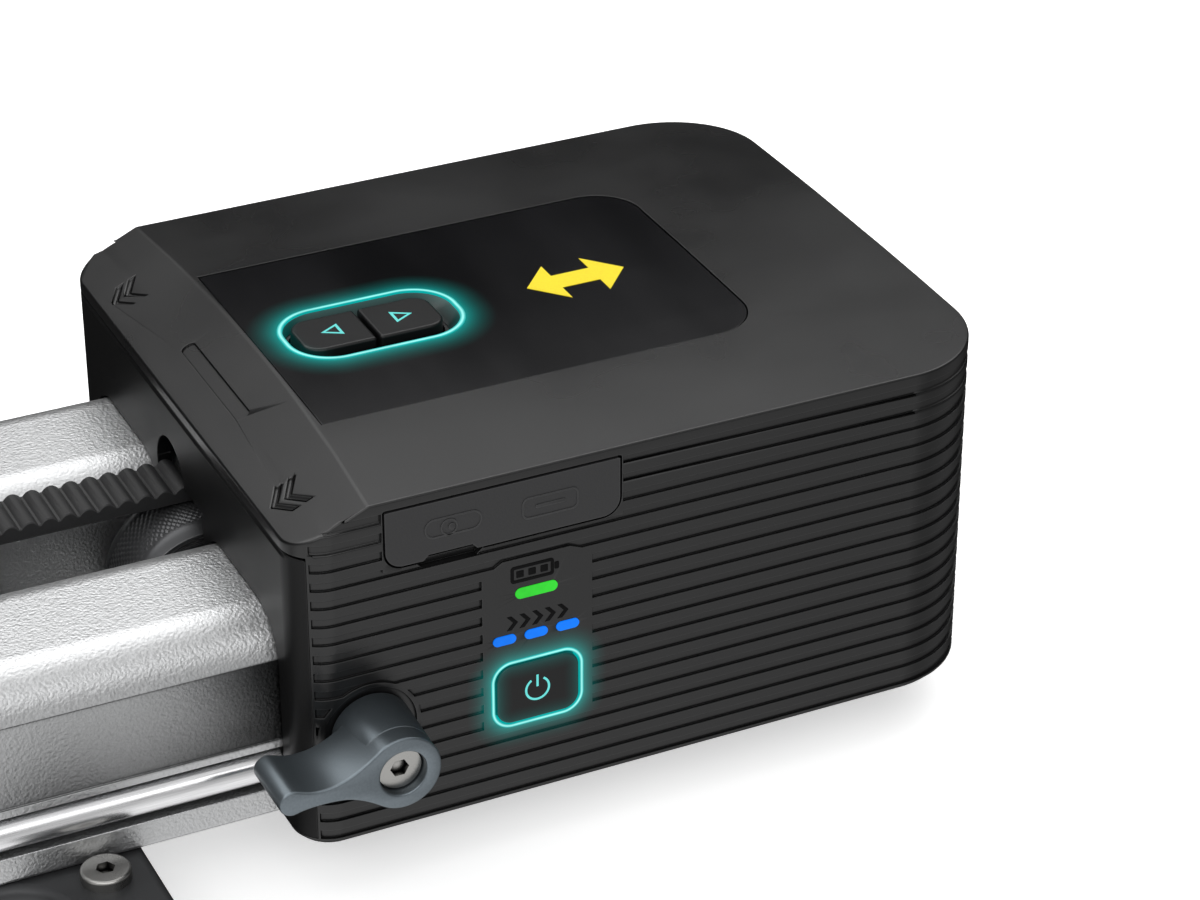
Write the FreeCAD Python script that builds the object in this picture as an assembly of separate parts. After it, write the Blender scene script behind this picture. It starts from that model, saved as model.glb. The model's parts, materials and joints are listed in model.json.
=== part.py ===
import FreeCAD, Part
import math
import os

# Motorised camera slider: two aluminium rails, a belt-driven carriage and a drive module at the +X end.
# Frame: X along the travel towards the drive module, -Y the side with the buttons, Z up.
# The origin is the mouth of the central tripod thread, in the underside of the tripod plate.
# All sizes are in millimetres.

V = FreeCAD.Vector
os.makedirs("parts", exist_ok=True)

# ---- driving dimensions -------------------------------------------------------------------------

# drive module
MODULE_LENGTH = 113.7
MODULE_WIDTH = 96.0
MODULE_CROWN = 56.2          # height of the crown above the module's bottom
MODULE_EDGE = 55.3           # height of the top along the long edges
SLOPE_LENGTH = 13.25         # length of the sloped facet over the rail entry
SLOPE_DROP = 6.0
ENTRY_CORNER_R = 5.8
FAR_CORNER_R = 15.4
WALL = 2.4
RIB_PITCH = 3.0
GROOVE_COUNT = 18
GROOVE_HEIGHT = 1.5
GROOVE_DEPTH = 0.45
FIRST_GROOVE_Z = 1.1
END_PLATE = 2.2
END_PLATE_TOP = 48.6
BOTTOM_SKIN = 1.1

# rails
RAIL_HEIGHT = 32.6
RAIL_INNER_Y = 9.6
RAIL_OUTER_Y = 39.2
RAIL_TOP_R = 8.0
RAIL_WALL = 2.4
RAIL_STEP = 0.35             # depth of the sunk field on the outer side
RAIL_STEP_Z = 26.2           # height of that field's upper edge
RAIL_LIP = 1.3               # lip between that field and the channel
CHANNEL_LOW, CHANNEL_HIGH = 4.6, 11.4
CHANNEL_FLOOR_Y = 34.8
ROD_R = 2.6

# places along the slider
FACE_X = 240.0               # rail entry face of the drive module
RAIL_IN_MODULE = 19.0
TAIL_X = -241.0              # inner face of the end block
RAIL_IN_TAIL = 8.0
TAIL_LENGTH = 31.0
RAIL_Z = 8.0                 # underside of the rails
MODULE_Z = RAIL_Z - 1.8      # underside of the module

# belt and wheels, heights above the module's bottom
BELT_Y0, BELT_Y1 = -0.1, 9.1
BELT_THICK = 2.8
BELT_GAP = 0.3
WHEEL_R = 12.5               # radius on which the belt's back runs
WHEEL_Z = 20.5
HAND_WHEEL_X = 0.8
RETURN_X = 66.0
DRIVE_X, DRIVE_Z = 34.0, 28.0
DRIVE_R = 7.3                # radius that touches the belt's tooth tips
DRIVE_TEETH = 16

# carriage
CARRIAGE_HALF = 50.0
PLATE_Z0, PLATE_Z1 = 44.0, 52.0
ROLLER_R = 8.6
ROLLER_HALF = 3.1
ROLLER_X = 38.0

# threads and fits
THREAD_3_8_R = 4.76
THREAD_1_4_R = 3.175
SCREW_R = 2.0                # stem of the M4 screws
HEAD_R, HEAD_HOLE_R = 3.7, 3.8
HEAD_DEPTH = 2.6             # depth of the hole that sinks a head
HEX_M4 = 2.5                 # across the flats of their sockets
AXLE_R = 3.0                 # pulley axles
CLAMP_SHAFT_R = 3.0
RUN = 0.05                   # radial running clearance
FREE = 0.3                   # gap between pieces that move past each other

# marks cut into the slope
ENGRAVED = 0.35
CHEVRON_Y = (32.3, -35.4)
CHEVRON_REACH, CHEVRON_HALF, CHEVRON_STROKE = 1.9, 3.3, 0.85
BAR = (5.1, 7.3, -13.2, 11.2)

# controls on the module, measured from its rail entry face and its bottom
FLAP = (13.6, 49.9, 44.4, 53.6)
PLATEAU = [(28.1, 12.2), (45.5, 12.2), (45.5, 40.1), (43.9, 40.1), (42.0, 40.9), (31.4, 40.9),
           (30.1, 40.1), (28.1, 40.1)]      # smooth field round the lights and the power button
POWER_BUTTON = (29.3, 44.0, 12.5, 23.9)
POWER_R, POWER_RING = 3.3, 0.55
LEVER_X, LEVER_Z = 10.5, 18.4
LEVER_FACE = 60.0            # distance of the lever's outer face from the centre plane
LEVER_BASE_R, LEVER_RING_R = 6.2, 5.8
LEVER_ARM = 16.7
PILL = (17.5, 46.1, -8.2, 8.6)
TOP_PANEL = (13.6, 85.4, -25.0, 26.1)

HALF = MODULE_WIDTH / 2
nodes = {}


# ---- basic shapes -------------------------------------------------------------------------------

def box(x0, x1, y0, y1, z0, z1):
    return Part.makeBox(x1 - x0, y1 - y0, z1 - z0, V(x0, y0, z0))


def cyl_x(x0, x1, y, z, r):
    return Part.makeCylinder(r, x1 - x0, V(x0, y, z), V(1, 0, 0))


def cyl_y(x, y0, y1, z, r):
    return Part.makeCylinder(r, y1 - y0, V(x, y0, z), V(0, 1, 0))


def cyl_z(x, y, z0, z1, r):
    return Part.makeCylinder(r, z1 - z0, V(x, y, z0), V(0, 0, 1))


def round_edges(shape, axis, radius):
    """Fillet every edge that runs along an axis; radius is a number or a function of the edge's middle."""
    chosen = []
    for edge in shape.Edges:
        a, b = edge.Vertexes[0].Point, edge.Vertexes[-1].Point
        d = b - a
        if d.Length > 1e-6 and abs(getattr(d, axis)) > 0.999 * d.Length:
            r = radius(edge.CenterOfMass) if callable(radius) else radius
            if r > 0:
                chosen.append((r, edge))
    for r in sorted({r for r, _ in chosen}):
        centres = [e.CenterOfMass for rr, e in chosen if rr == r]
        edges = [e for e in shape.Edges if any((e.CenterOfMass - c).Length < 1e-4 for c in centres)]
        shape = shape.makeFillet(r, edges)
    return shape


def rbox(x0, x1, y0, y1, z0, z1, r, axis="z"):
    return round_edges(box(x0, x1, y0, y1, z0, z1), axis, r)


def prism(points, direction):
    return Part.Face(Part.makePolygon(points + [points[0]])).extrude(direction)


def prism_z(outline, z0, z1):
    return prism([V(x, y, z0) for x, y in outline], V(0, 0, z1 - z0))


def prism_y(outline, y0, y1):
    return prism([V(x, y0, z) for x, z in outline], V(0, y1 - y0, 0))


def join(shapes):
    result = shapes[0]
    for shape in shapes[1:]:
        result = result.fuse(shape)
    return result.removeSplitter()


def mirror_y(shape):
    return shape.mirror(V(0, 0, 0), V(0, 1, 0))


def mirror_x(shape):
    return shape.mirror(V(0, 0, 0), V(1, 0, 0))


def in_module(shape):
    """Move a shape from the module's own axes to the slider's."""
    return shape.translated(V(FACE_X, 0, MODULE_Z))


def add(name, shape):
    nodes[name] = shape


def hex_prism(x, y, z0, z1, across, axis=V(0, 0, 1)):
    r = across / math.sqrt(3)
    corners = [V(r * math.cos(math.radians(60 * k)), r * math.sin(math.radians(60 * k)), 0) for k in range(6)]
    tool = prism(corners, V(0, 0, z1 - z0))
    if axis.z == 0:
        tool.rotate(V(0, 0, 0), V(1, 0, 0), -90)
        return tool.translated(V(x, z0, y))
    return tool.translated(V(x, y, z0))


# ---- rails --------------------------------------------------------------------------------------

RAIL_X0 = TAIL_X - RAIL_IN_TAIL
RAIL_X1 = FACE_X + RAIL_IN_MODULE
RAIL_SCREW_X, RAIL_SCREW_Y = (36.0, 192.0), 24.0


def rail_outline(x0, x1, grow=0.0):
    """Back rail's outside, from x0 to x1, grown all round for the openings that it passes through."""
    g = grow
    body = box(x0, x1, RAIL_INNER_Y - g, RAIL_OUTER_Y + g, RAIL_Z - g, RAIL_Z + RAIL_HEIGHT + g)
    top = RAIL_Z + RAIL_HEIGHT / 2
    return round_edges(body, "x", lambda c: RAIL_TOP_R + g if c.z > top else 1.0 + g)


def back_rail():
    rail = rail_outline(RAIL_X0, RAIL_X1)
    x0, x1 = RAIL_X0 - 1, RAIL_X1 + 1
    rail = rail.cut(box(x0, x1, RAIL_OUTER_Y - RAIL_STEP, RAIL_OUTER_Y + 1, RAIL_Z + CHANNEL_HIGH + RAIL_LIP,
                        RAIL_Z + RAIL_STEP_Z))
    channel = box(x0, x1, CHANNEL_FLOOR_Y, RAIL_OUTER_Y + 1, RAIL_Z + CHANNEL_LOW, RAIL_Z + CHANNEL_HIGH)
    channel = round_edges(channel, "x", lambda c: 1.2 if c.y < RAIL_OUTER_Y else 0)
    upper = rbox(x0, x1, RAIL_INNER_Y + RAIL_WALL, RAIL_OUTER_Y - RAIL_WALL - RAIL_STEP,
                 RAIL_Z + CHANNEL_HIGH + RAIL_WALL, RAIL_Z + RAIL_HEIGHT - RAIL_WALL, 5.0, "x")
    lower = rbox(x0, x1, RAIL_INNER_Y + RAIL_WALL, CHANNEL_FLOOR_Y - RAIL_WALL,
                 RAIL_Z + RAIL_WALL, RAIL_Z + CHANNEL_HIGH, 1.5, "x")
    rail = rail.cut(channel).cut(upper).cut(lower)
    rail = rail.cut(cyl_y(FACE_X + HAND_WHEEL_X, RAIL_INNER_Y - 1, RAIL_INNER_Y + RAIL_WALL + 1,
                          MODULE_Z + WHEEL_Z, AXLE_R))
    for x in RAIL_SCREW_X:
        for sx in (-1, 1):
            rail = rail.cut(cyl_z(sx * x, RAIL_SCREW_Y, RAIL_Z - 1, RAIL_Z + RAIL_WALL + 1, SCREW_R))
    return rail


ROD_Y = CHANNEL_FLOOR_Y + ROD_R
ROD_Z = RAIL_Z + (CHANNEL_LOW + CHANNEL_HIGH) / 2

rail = back_rail()
add("back_rail", rail)
add("front_rail", mirror_y(rail))
rod = cyl_x(TAIL_X, FACE_X, ROD_Y, ROD_Z, ROD_R)
add("raceway_rods", Part.makeCompound([rod, mirror_y(rod)]))


# ---- belt and wheels ----------------------------------------------------------------------------

def loop_edges(wheels):
    """Closed line round wheels given as (x, z, radius, side); side is -1 where the belt bends outwards."""
    count = len(wheels)
    angles = []
    for i, (x, z, r, s) in enumerate(wheels):
        x2, z2, r2, s2 = wheels[(i + 1) % count]
        k = (s2 * r2 - s * r) / math.hypot(x2 - x, z2 - z)
        angles.append(math.atan2(z2 - z, x2 - x) + math.asin(k))

    def touch(wheel, angle):
        x, z, r, s = wheel
        return V(x - s * r * math.sin(angle), 0, z + s * r * math.cos(angle))

    edges = []
    for i, wheel in enumerate(wheels):
        arrive, leave = angles[i - 1], angles[i]
        turn = (leave - arrive) % (2 * math.pi)
        if wheel[3] > 0:
            turn -= 2 * math.pi
        middle = touch(wheel, arrive + turn / 2)
        edges.append(Part.Arc(touch(wheel, arrive), middle, touch(wheel, leave)).toShape())
        follower = wheels[(i + 1) % count]
        edges.append(Part.LineSegment(touch(wheel, leave), touch(follower, leave)).toShape())
    return edges


def belt_wheels(inside, outside):
    """Wheels of the belt's loop, with the radius on the four inner wheels and on the drive pulley."""
    tail = TAIL_X - TAIL_LENGTH / 2 + 3.6 - FACE_X
    return [(tail, WHEEL_Z, inside, 1), (HAND_WHEEL_X, WHEEL_Z, inside, 1),
            (DRIVE_X, DRIVE_Z, outside, -1), (RETURN_X, WHEEL_Z, inside, 1)]


def loop_solid(inside, outside):
    face = Part.Face(Part.Wire(loop_edges(belt_wheels(inside, outside))))
    return face.extrude(V(0, BELT_Y1 - BELT_Y0, 0)).translated(V(0, BELT_Y0, 0))


TAIL_WHEEL_X = belt_wheels(1, 1)[0][0] + FACE_X
belt = loop_solid(WHEEL_R + BELT_THICK, DRIVE_R).cut(loop_solid(WHEEL_R, DRIVE_R + BELT_THICK))
add("toothed_belt", in_module(belt))


def revolve_y(profile, x, z):
    """Turn a list of (radius, y) points about the line along Y through x, z."""
    face = Part.Face(Part.makePolygon([V(r, y, 0) for r, y in profile + profile[:1]]))
    return face.revolve(V(0, 0, 0), V(0, 1, 0), 360).translated(V(x, 0, z))


HAND_Y0, HAND_Y1 = -7.8, 5.0
RIM = WHEEL_R - BELT_GAP
BEARING_R = 8.0
hand_profile = [(BEARING_R, HAND_Y0 + 1.2), (10.2, HAND_Y0 + 0.8), (10.4, HAND_Y0), (11.2, HAND_Y0),
                (RIM, HAND_Y0 + 1.8), (RIM, HAND_Y1 - 1.2), (11.6, HAND_Y1), (BEARING_R, HAND_Y1)]
hand_wheel = revolve_y(hand_profile, HAND_WHEEL_X, WHEEL_Z)
hand_bearing = revolve_y([(AXLE_R + RUN, HAND_Y0 + 1.2), (BEARING_R, HAND_Y0 + 1.2),
                          (BEARING_R, HAND_Y1), (AXLE_R + RUN, HAND_Y1)], HAND_WHEEL_X, WHEEL_Z)
add("hand_wheel", in_module(hand_wheel))
add("hand_wheel_bearing", in_module(hand_bearing))
axle_end = RAIL_INNER_Y + RAIL_WALL
hand_axle = cyl_y(HAND_WHEEL_X, -axle_end, axle_end, WHEEL_Z, AXLE_R)

FLANGE_Y0, FLANGE_Y1 = BELT_Y0 - 1.4, BELT_Y1 + 1.3
BELT_SIDE = 0.35             # sideways gap between the belt and a pulley's flange


def flanged_wheel(x, z, radius, flange_r, bore_r, back_flange=True):
    inner0, inner1 = BELT_Y0 - BELT_SIDE, BELT_Y1 + BELT_SIDE
    profile = [(bore_r, FLANGE_Y0), (flange_r, FLANGE_Y0), (flange_r, inner0), (radius, inner0)]
    if back_flange:
        profile += [(radius, inner1), (flange_r, inner1), (flange_r, FLANGE_Y1), (bore_r, FLANGE_Y1)]
    else:
        profile += [(radius, BELT_Y1), (bore_r, BELT_Y1)]
    return revolve_y(profile, x, z)


return_pulley = flanged_wheel(RETURN_X, WHEEL_Z, RIM, RIM + 1.4, AXLE_R + RUN)
add("return_pulley", in_module(return_pulley))
tail_pulley = flanged_wheel(TAIL_WHEEL_X - FACE_X, WHEEL_Z, RIM, RIM + 1.4, AXLE_R + RUN, False)
add("tail_pulley", in_module(tail_pulley))

SHAFT_R = 2.5
drive_pulley = flanged_wheel(DRIVE_X, DRIVE_Z, DRIVE_R - BELT_GAP, DRIVE_R + 1.6, SHAFT_R)
for k in range(DRIVE_TEETH):
    a = 2 * math.pi * (k + 0.5) / DRIVE_TEETH
    x, z = DRIVE_X + DRIVE_R * math.cos(a), DRIVE_Z + DRIVE_R * math.sin(a)
    drive_pulley = drive_pulley.cut(cyl_y(x, BELT_Y0 - BELT_SIDE, BELT_Y1 + BELT_SIDE, z, 0.95))
add("drive_pulley", in_module(drive_pulley))

# side plates that carry the pulleys, and the geared motor in front of them
CHEEK = 3.0
FRONT_CHEEK = (FLANGE_Y0 - 0.4 - CHEEK, FLANGE_Y0 - 0.4)
BACK_CHEEK = (FLANGE_Y1 + 0.4, FLANGE_Y1 + 0.4 + CHEEK)
FLOOR_Z = BOTTOM_SKIN + 1.7
MOTOR_R = 12.5
GEARBOX_LENGTH, MOTOR_LENGTH = 16.0, 17.0


def cheek(y0, y1):
    plate = rbox(21.0, 82.0, y0, y1, FLOOR_Z, 43.4, 4.0, "y")
    plate = plate.cut(cyl_y(DRIVE_X, y0 - 1, y1 + 1, DRIVE_Z, SHAFT_R + RUN))
    return plate.cut(cyl_y(RETURN_X, y0 - 1, y1 + 1, WHEEL_Z, AXLE_R))


add("drive_plates", in_module(Part.makeCompound([cheek(*FRONT_CHEEK), cheek(*BACK_CHEEK)])))
return_axle = cyl_y(RETURN_X, FRONT_CHEEK[0], BACK_CHEEK[1], WHEEL_Z, AXLE_R)
TAIL_AXLE_Y = (-14.0, 22.0)
tail_axle = cyl_y(TAIL_WHEEL_X - FACE_X, *TAIL_AXLE_Y, WHEEL_Z, AXLE_R)
add("wheel_axles", in_module(Part.makeCompound([hand_axle, return_axle, tail_axle])))
gear_y0 = FRONT_CHEEK[0] - GEARBOX_LENGTH
gearbox = cyl_y(DRIVE_X, gear_y0, FRONT_CHEEK[0], DRIVE_Z, MOTOR_R)
gearbox = gearbox.cut(cyl_y(DRIVE_X, FRONT_CHEEK[0] - 6, FRONT_CHEEK[0] + 1, DRIVE_Z, SHAFT_R + RUN))
add("gearbox", in_module(gearbox))
motor = join([cyl_y(DRIVE_X, gear_y0 - MOTOR_LENGTH, gear_y0, DRIVE_Z, MOTOR_R - 0.6),
              cyl_y(DRIVE_X, gear_y0 - MOTOR_LENGTH - 1.5, gear_y0 - MOTOR_LENGTH, DRIVE_Z, 4.0)])
add("drive_motor", in_module(motor))
add("drive_shaft", in_module(cyl_y(DRIVE_X, FRONT_CHEEK[0] - 5.5, BACK_CHEEK[1], DRIVE_Z, SHAFT_R)))


# ---- drive module housing -----------------------------------------------------------------------

def plan(inset, z0, z1):
    """The module's outline, drawn in by inset, between two heights."""
    block = box(inset, MODULE_LENGTH - inset, -HALF + inset, HALF - inset, z0, z1)
    middle = MODULE_LENGTH / 2
    return round_edges(block, "z", lambda c: (FAR_CORNER_R if c.x > middle else ENTRY_CORNER_R) - inset)


def crown_tool(drop):
    """Everything below the crowned top, lowered by drop."""
    sag = MODULE_CROWN - MODULE_EDGE
    radius = HALF * HALF / (2 * sag)
    length = MODULE_LENGTH + 20
    return cyl_x(-10, length, 0, MODULE_CROWN - drop - radius, radius)


def slope_tool(drop):
    """The wedge above the sloped facet, lowered by drop."""
    low, high = MODULE_CROWN - SLOPE_DROP - drop, MODULE_CROWN - drop
    rise = (high - low) / SLOPE_LENGTH
    outline = [(-5, low - 5 * rise), (SLOPE_LENGTH + 10, high + 10 * rise), (-5, high + 30)]
    return prism_y(outline, -HALF - 5, HALF + 5)


def block(inset, drop):
    """Closed outer form of the module with its crown and slope."""
    return plan(inset, 0, MODULE_CROWN + 5).common(crown_tool(drop)).cut(slope_tool(drop))


def groove(z):
    """Tool for one groove that runs round the walls."""
    return plan(-2, z, z + GROOVE_HEIGHT).cut(plan(GROOVE_DEPTH, z - 1, z + GROOVE_HEIGHT + 1))


def capsule_y(x0, x1, z0, z1, y0, y1):
    return rbox(x0, x1, y0, y1, z0, z1, (z1 - z0) / 2 * 0.999, "y")


GREEN_LIGHT = (33.3, 39.9, 34.2, 35.9)
BLUE_LIGHTS = [(x, x + 3.6, 27.0, 28.5) for x in (29.7, 34.7, 39.7)]
LIGHT_BACK = -HALF + WALL + 1.6
PORT_Y = -HALF + 1.9         # floor of the pocket behind the port flap
USB = (34.5, 43.4, 47.0, 50.6)
JACK_X, JACK_Z, JACK_R = 24.0, 49.2, 3.0
CORNER_POSTS = [(56.0, -42.0), (23.4, 41.6), (106.0, -41.0), (106.0, 41.0)]
POST_R, POST_HOLE_R = 2.6, 1.2
BUTTON_Y0, BUTTON_Y1 = -4.8, 5.1
KEY_PAIR = {"travel_button_left": (19.7, 30.7), "travel_button_right": (31.3, 42.3)}
KEY_SPAN = (19.7, 42.3)


def chevrons(y):
    """Two nested arrow strokes for the slope, pointing away from the module."""
    strokes = []
    for tip in (1.7, 3.8):
        end, wide = tip + CHEVRON_REACH, CHEVRON_STROKE
        outline = [(tip, y), (end, y + CHEVRON_HALF), (end + wide, y + CHEVRON_HALF), (tip + wide, y),
                   (end + wide, y - CHEVRON_HALF), (end, y - CHEVRON_HALF)]
        strokes.append(prism_z(outline, 40, 70))
    return strokes


def engraving():
    """Marks on the slope: a plain bar between two pairs of chevrons, all equally deep."""
    band = slope_tool(ENGRAVED).cut(slope_tool(0))
    marks = [rbox(*BAR, 40, 70, 1.0)]
    for y in CHEVRON_Y:
        marks += chevrons(y)
    return [mark.common(band) for mark in marks]


def panel_prism(inset):
    x0, x1, y0, y1 = TOP_PANEL
    slab = box(x0 + inset, x1 - inset, y0 + inset, y1 - inset, 50, 60)
    return round_edges(slab, "z", lambda c: 7.7 - inset if c.x > 50 else 0.0)


def pill_prism(inset, z0, z1):
    x0, x1, y0, y1 = PILL
    return rbox(x0 + inset, x1 - inset, y0 + inset, y1 - inset, z0, z1, 7.4 - inset, "z")


PANEL_DEPTH = 1.2            # depth of the glossy panel's seat
POCKET_DEPTH = 1.9           # depth of the travel buttons' pocket
MARK_OUTLINE = [(57.6, 0.5), (62.6, 6.2), (62.6, 2.6), (69.0, 2.6), (69.0, 6.2), (74.0, 0.5),
                (69.0, -5.2), (69.0, -1.6), (62.6, -1.6), (62.6, -5.2)]


def module_shell():
    shell = block(0, 0)
    cavity = plan(WALL, -1, MODULE_CROWN).common(crown_tool(2.8)).cut(slope_tool(2.8))
    posts = [cyl_z(x, y, FLOOR_Z, 54, POST_R).common(block(0.5, 0.5)) for x, y in CORNER_POSTS]
    shell = shell.cut(cavity)
    pad = box(FLAP[0] - 1.5, FLAP[1] + 1.5, -HALF + 1, -HALF + WALL + 1.6, FLAP[2] - 1.5, 54.5)
    shell = join([shell, pad.common(block(1, 1))] + posts)
    shell = shell.cut(box(-1, END_PLATE, -HALF - 1, HALF + 1, -1, END_PLATE_TOP))
    shell = shell.cut(box(-1, WALL + 1, ENTRY_CORNER_R - HALF, HALF - ENTRY_CORNER_R, -1, END_PLATE_TOP))
    shell = shell.cut(box(-1, MODULE_LENGTH + 1, -HALF - 1, HALF + 1, -1, BOTTOM_SKIN))
    for x, y in CORNER_POSTS:
        shell = shell.cut(cyl_z(x, y, FLOOR_Z - 1, FLOOR_Z + 12, POST_HOLE_R))

    keep_flat = [prism_y(PLATEAU, -HALF - 3, -HALF + 3),
                 cyl_y(LEVER_X, -HALF - 3, -HALF + 3, LEVER_Z, LEVER_BASE_R + 1.6),
                 box(FLAP[0] - 0.5, FLAP[1] + 0.5, -HALF - 3, -HALF + 3, FLAP[2] - 0.4, FLAP[3] + 0.6),
                 box(-5, END_PLATE + 0.3, -HALF - 5, HALF + 5, -1, 60)]
    first = groove(0)
    for k in range(GROOVE_COUNT):
        tool = first.translated(V(0, 0, FIRST_GROOVE_Z + RIB_PITCH * k))
        for keep in keep_flat:
            tool = tool.cut(keep)
        shell = shell.cut(tool)

    shell = shell.cut(panel_prism(0).cut(block(-1, PANEL_DEPTH)))
    shell = shell.cut(pill_prism(0, 50, 60).cut(block(-1, POCKET_DEPTH)))
    shell = shell.cut(rbox(KEY_SPAN[0] - FREE, KEY_SPAN[1] + FREE, BUTTON_Y0 - FREE, BUTTON_Y1 + FREE,
                           45, 60, 3.2, "z"))
    for mark in engraving():
        shell = shell.cut(mark)

    x0, x1, z0, z1 = FLAP
    pocket = box(x0 - FREE, x1 + FREE, -HALF - 1, PORT_Y, z0 - FREE, z1 + FREE)
    shell = shell.cut(round_edges(pocket, "y", lambda c: 3.0 if c.z < 50 else 0.4))
    notch = prism_y([(19.3, z0 - 1.3), (27.6, z0 - 1.3), (29.0, z0), (17.9, z0)], -HALF - 1, -HALF + 1.4)
    shell = shell.cut(notch)
    shell = shell.cut(capsule_y(*USB, -HALF, -HALF + 8))
    shell = shell.cut(cyl_y(JACK_X, -HALF, -HALF + 8, JACK_Z, JACK_R))

    for light in [GREEN_LIGHT] + BLUE_LIGHTS:
        shell = shell.cut(capsule_y(*light, -HALF - 1, -HALF + 5))
    x0, x1, z0, z1 = POWER_BUTTON
    shell = shell.cut(rbox(x0, x1, -HALF - 1, -HALF + 5, z0, z1, POWER_R, "y"))
    shell = shell.cut(cyl_y(LEVER_X, -HALF - 1, -HALF + 5, LEVER_Z, CLAMP_SHAFT_R + RUN))
    seat = cyl_y(LEVER_X, -HALF - 1, -HALF + 0.4, LEVER_Z, LEVER_BASE_R + 0.9)
    return shell.cut(seat)


def module_end_plate():
    plate = block(0, 0).common(box(-1, END_PLATE, -HALF - 1, HALF + 1, BOTTOM_SKIN, END_PLATE_TOP - 0.4))
    plate = plate.cut(box(-1, 0.3, -HALF - 1, HALF + 1, END_PLATE_TOP - 1.0, 60))
    opening = rail_outline(FACE_X - 5, FACE_X + 10, 0.4).translated(V(-FACE_X, 0, -MODULE_Z))
    plate = plate.cut(opening).cut(mirror_y(opening))
    slot = box(-2, 10, -RAIL_INNER_Y, RAIL_INNER_Y, 3.2, 36.4)
    arch_r = 5.8
    arch_y = (BELT_Y0 + BELT_Y1) / 2 - 0.7
    arch = join([cyl_x(-2, 10, arch_y, 36.2, arch_r), box(-2, 10, arch_y - arch_r, arch_y + arch_r, 30, 36.2)])
    return plate.cut(slot).cut(arch)


def module_bottom():
    skin = plan(0, 0, BOTTOM_SKIN)
    rim = [e for e in skin.Edges if abs(e.CenterOfMass.z) < 1e-6]
    skin = skin.makeChamfer(0.8, rim)
    inner = plan(WALL + 0.1, BOTTOM_SKIN, FLOOR_Z).cut(box(-5, END_PLATE + 0.1, -60, 60, -1, 5))
    inner = inner.cut(box(-5, RAIL_IN_MODULE + 1, -41, 41, 1.2, 5))
    cover = join([skin, inner])
    for x, y in CORNER_POSTS:
        cover = cover.cut(cyl_z(x, y, -1, 5, 1.3)).cut(Part.makeCone(2.6, 1.3, 1.3, V(x, y, 0), V(0, 0, 1)))
    return cover


def module_screws():
    """Countersunk screws that hold the bottom cover."""
    screws = []
    for x, y in CORNER_POSTS:
        head = Part.makeCone(2.6, 1.3, 1.3, V(x, y, 0), V(0, 0, 1))
        stem = cyl_z(x, y, 1.3, FLOOR_Z + 8, POST_HOLE_R)
        screws.append(join([head, stem]).cut(hex_prism(x, y, -1, 0.9, 1.5)))
    return screws


add("module_shell", in_module(module_shell()))
add("module_end_plate", in_module(module_end_plate()))
add("module_bottom_cover", in_module(module_bottom()))

# glossy top panel, its light ring, the travel mark and the two keys
SURFACE_DROP = 0.12
panel = panel_prism(0.2).common(block(0, SURFACE_DROP)).cut(block(-1, PANEL_DEPTH))
mark = prism_z(MARK_OUTLINE, 50, 60)
add("travel_mark", in_module(mark.common(block(0, SURFACE_DROP - 0.06)).cut(block(-1, PANEL_DEPTH))))
add("top_panel", in_module(panel.cut(pill_prism(0, 50, 60)).cut(mark)))
RING_WIDTH = 0.8
ring = pill_prism(0, 50, 60).cut(pill_prism(RING_WIDTH, 50, 60))
add("top_light_ring", in_module(ring.common(block(0, SURFACE_DROP - 0.1)).cut(block(-1, POCKET_DEPTH))))

KEY_TOP = MODULE_CROWN + 0.2
SHELL_TOP_INNER = MODULE_CROWN - 2.8
BOARD_Z0, BOARD_Z1 = 44.6, 46.2


def travel_key(x0, x1):
    left = x0 == KEY_SPAN[0]
    key = box(x0, x1, BUTTON_Y0, BUTTON_Y1, SHELL_TOP_INNER - 0.6, KEY_TOP)
    key = round_edges(key, "z", lambda c: 2.9 if (c.x < 25) == left and abs(c.x - 31) > 5 else 0.5)
    rim = [e for e in key.Edges if abs(e.CenterOfMass.z - KEY_TOP) < 1e-4]
    key = key.makeFillet(0.45, rim)
    flange = box(x0 - (1.2 if left else 0), x1 + (0 if left else 1.2), BUTTON_Y0 - 1.2, BUTTON_Y1 + 1.2,
                 SHELL_TOP_INNER - 1.4, SHELL_TOP_INNER - 0.4)
    stem = cyl_z((x0 + x1) / 2, 0, BOARD_Z1 + 1.6, SHELL_TOP_INNER, 1.6)
    return join([key, flange, stem])


for name, (x0, x1) in KEY_PAIR.items():
    add(name, in_module(travel_key(x0, x1)))

# power button with its light ring, and the status lights
x0, x1, z0, z1 = POWER_BUTTON
ring = rbox(x0, x1, -HALF - 0.05, -HALF + WALL, z0, z1, POWER_R, "y")
line = POWER_RING
ring = ring.cut(rbox(x0 + line, x1 - line, -HALF - 1, 0, z0 + line, z1 - line, POWER_R - line, "y"))
add("power_light_ring", in_module(ring))
inset = line + FREE
key = rbox(x0 + inset, x1 - inset, -HALF - 0.3, -HALF + WALL + 0.8, z0 + inset, z1 - inset,
           POWER_R - inset, "y")
front_rim = [e for e in key.Edges if abs(e.CenterOfMass.y + HALF + 0.3) < 1e-4]
key = key.makeFillet(0.25, front_rim)
flange = box(x0 - 0.8, x1 + 0.8, -HALF + WALL + 0.4, -HALF + WALL + 0.8, z0 - 0.8, z1 + 0.8)
add("power_button", in_module(join([key, flange])))
add("power_status_light", in_module(capsule_y(*GREEN_LIGHT, -HALF - 0.15, LIGHT_BACK)))
speed_lights = [capsule_y(*light, -HALF - 0.15, LIGHT_BACK) for light in BLUE_LIGHTS]
add("speed_lights", in_module(Part.makeCompound(speed_lights)))

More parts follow.
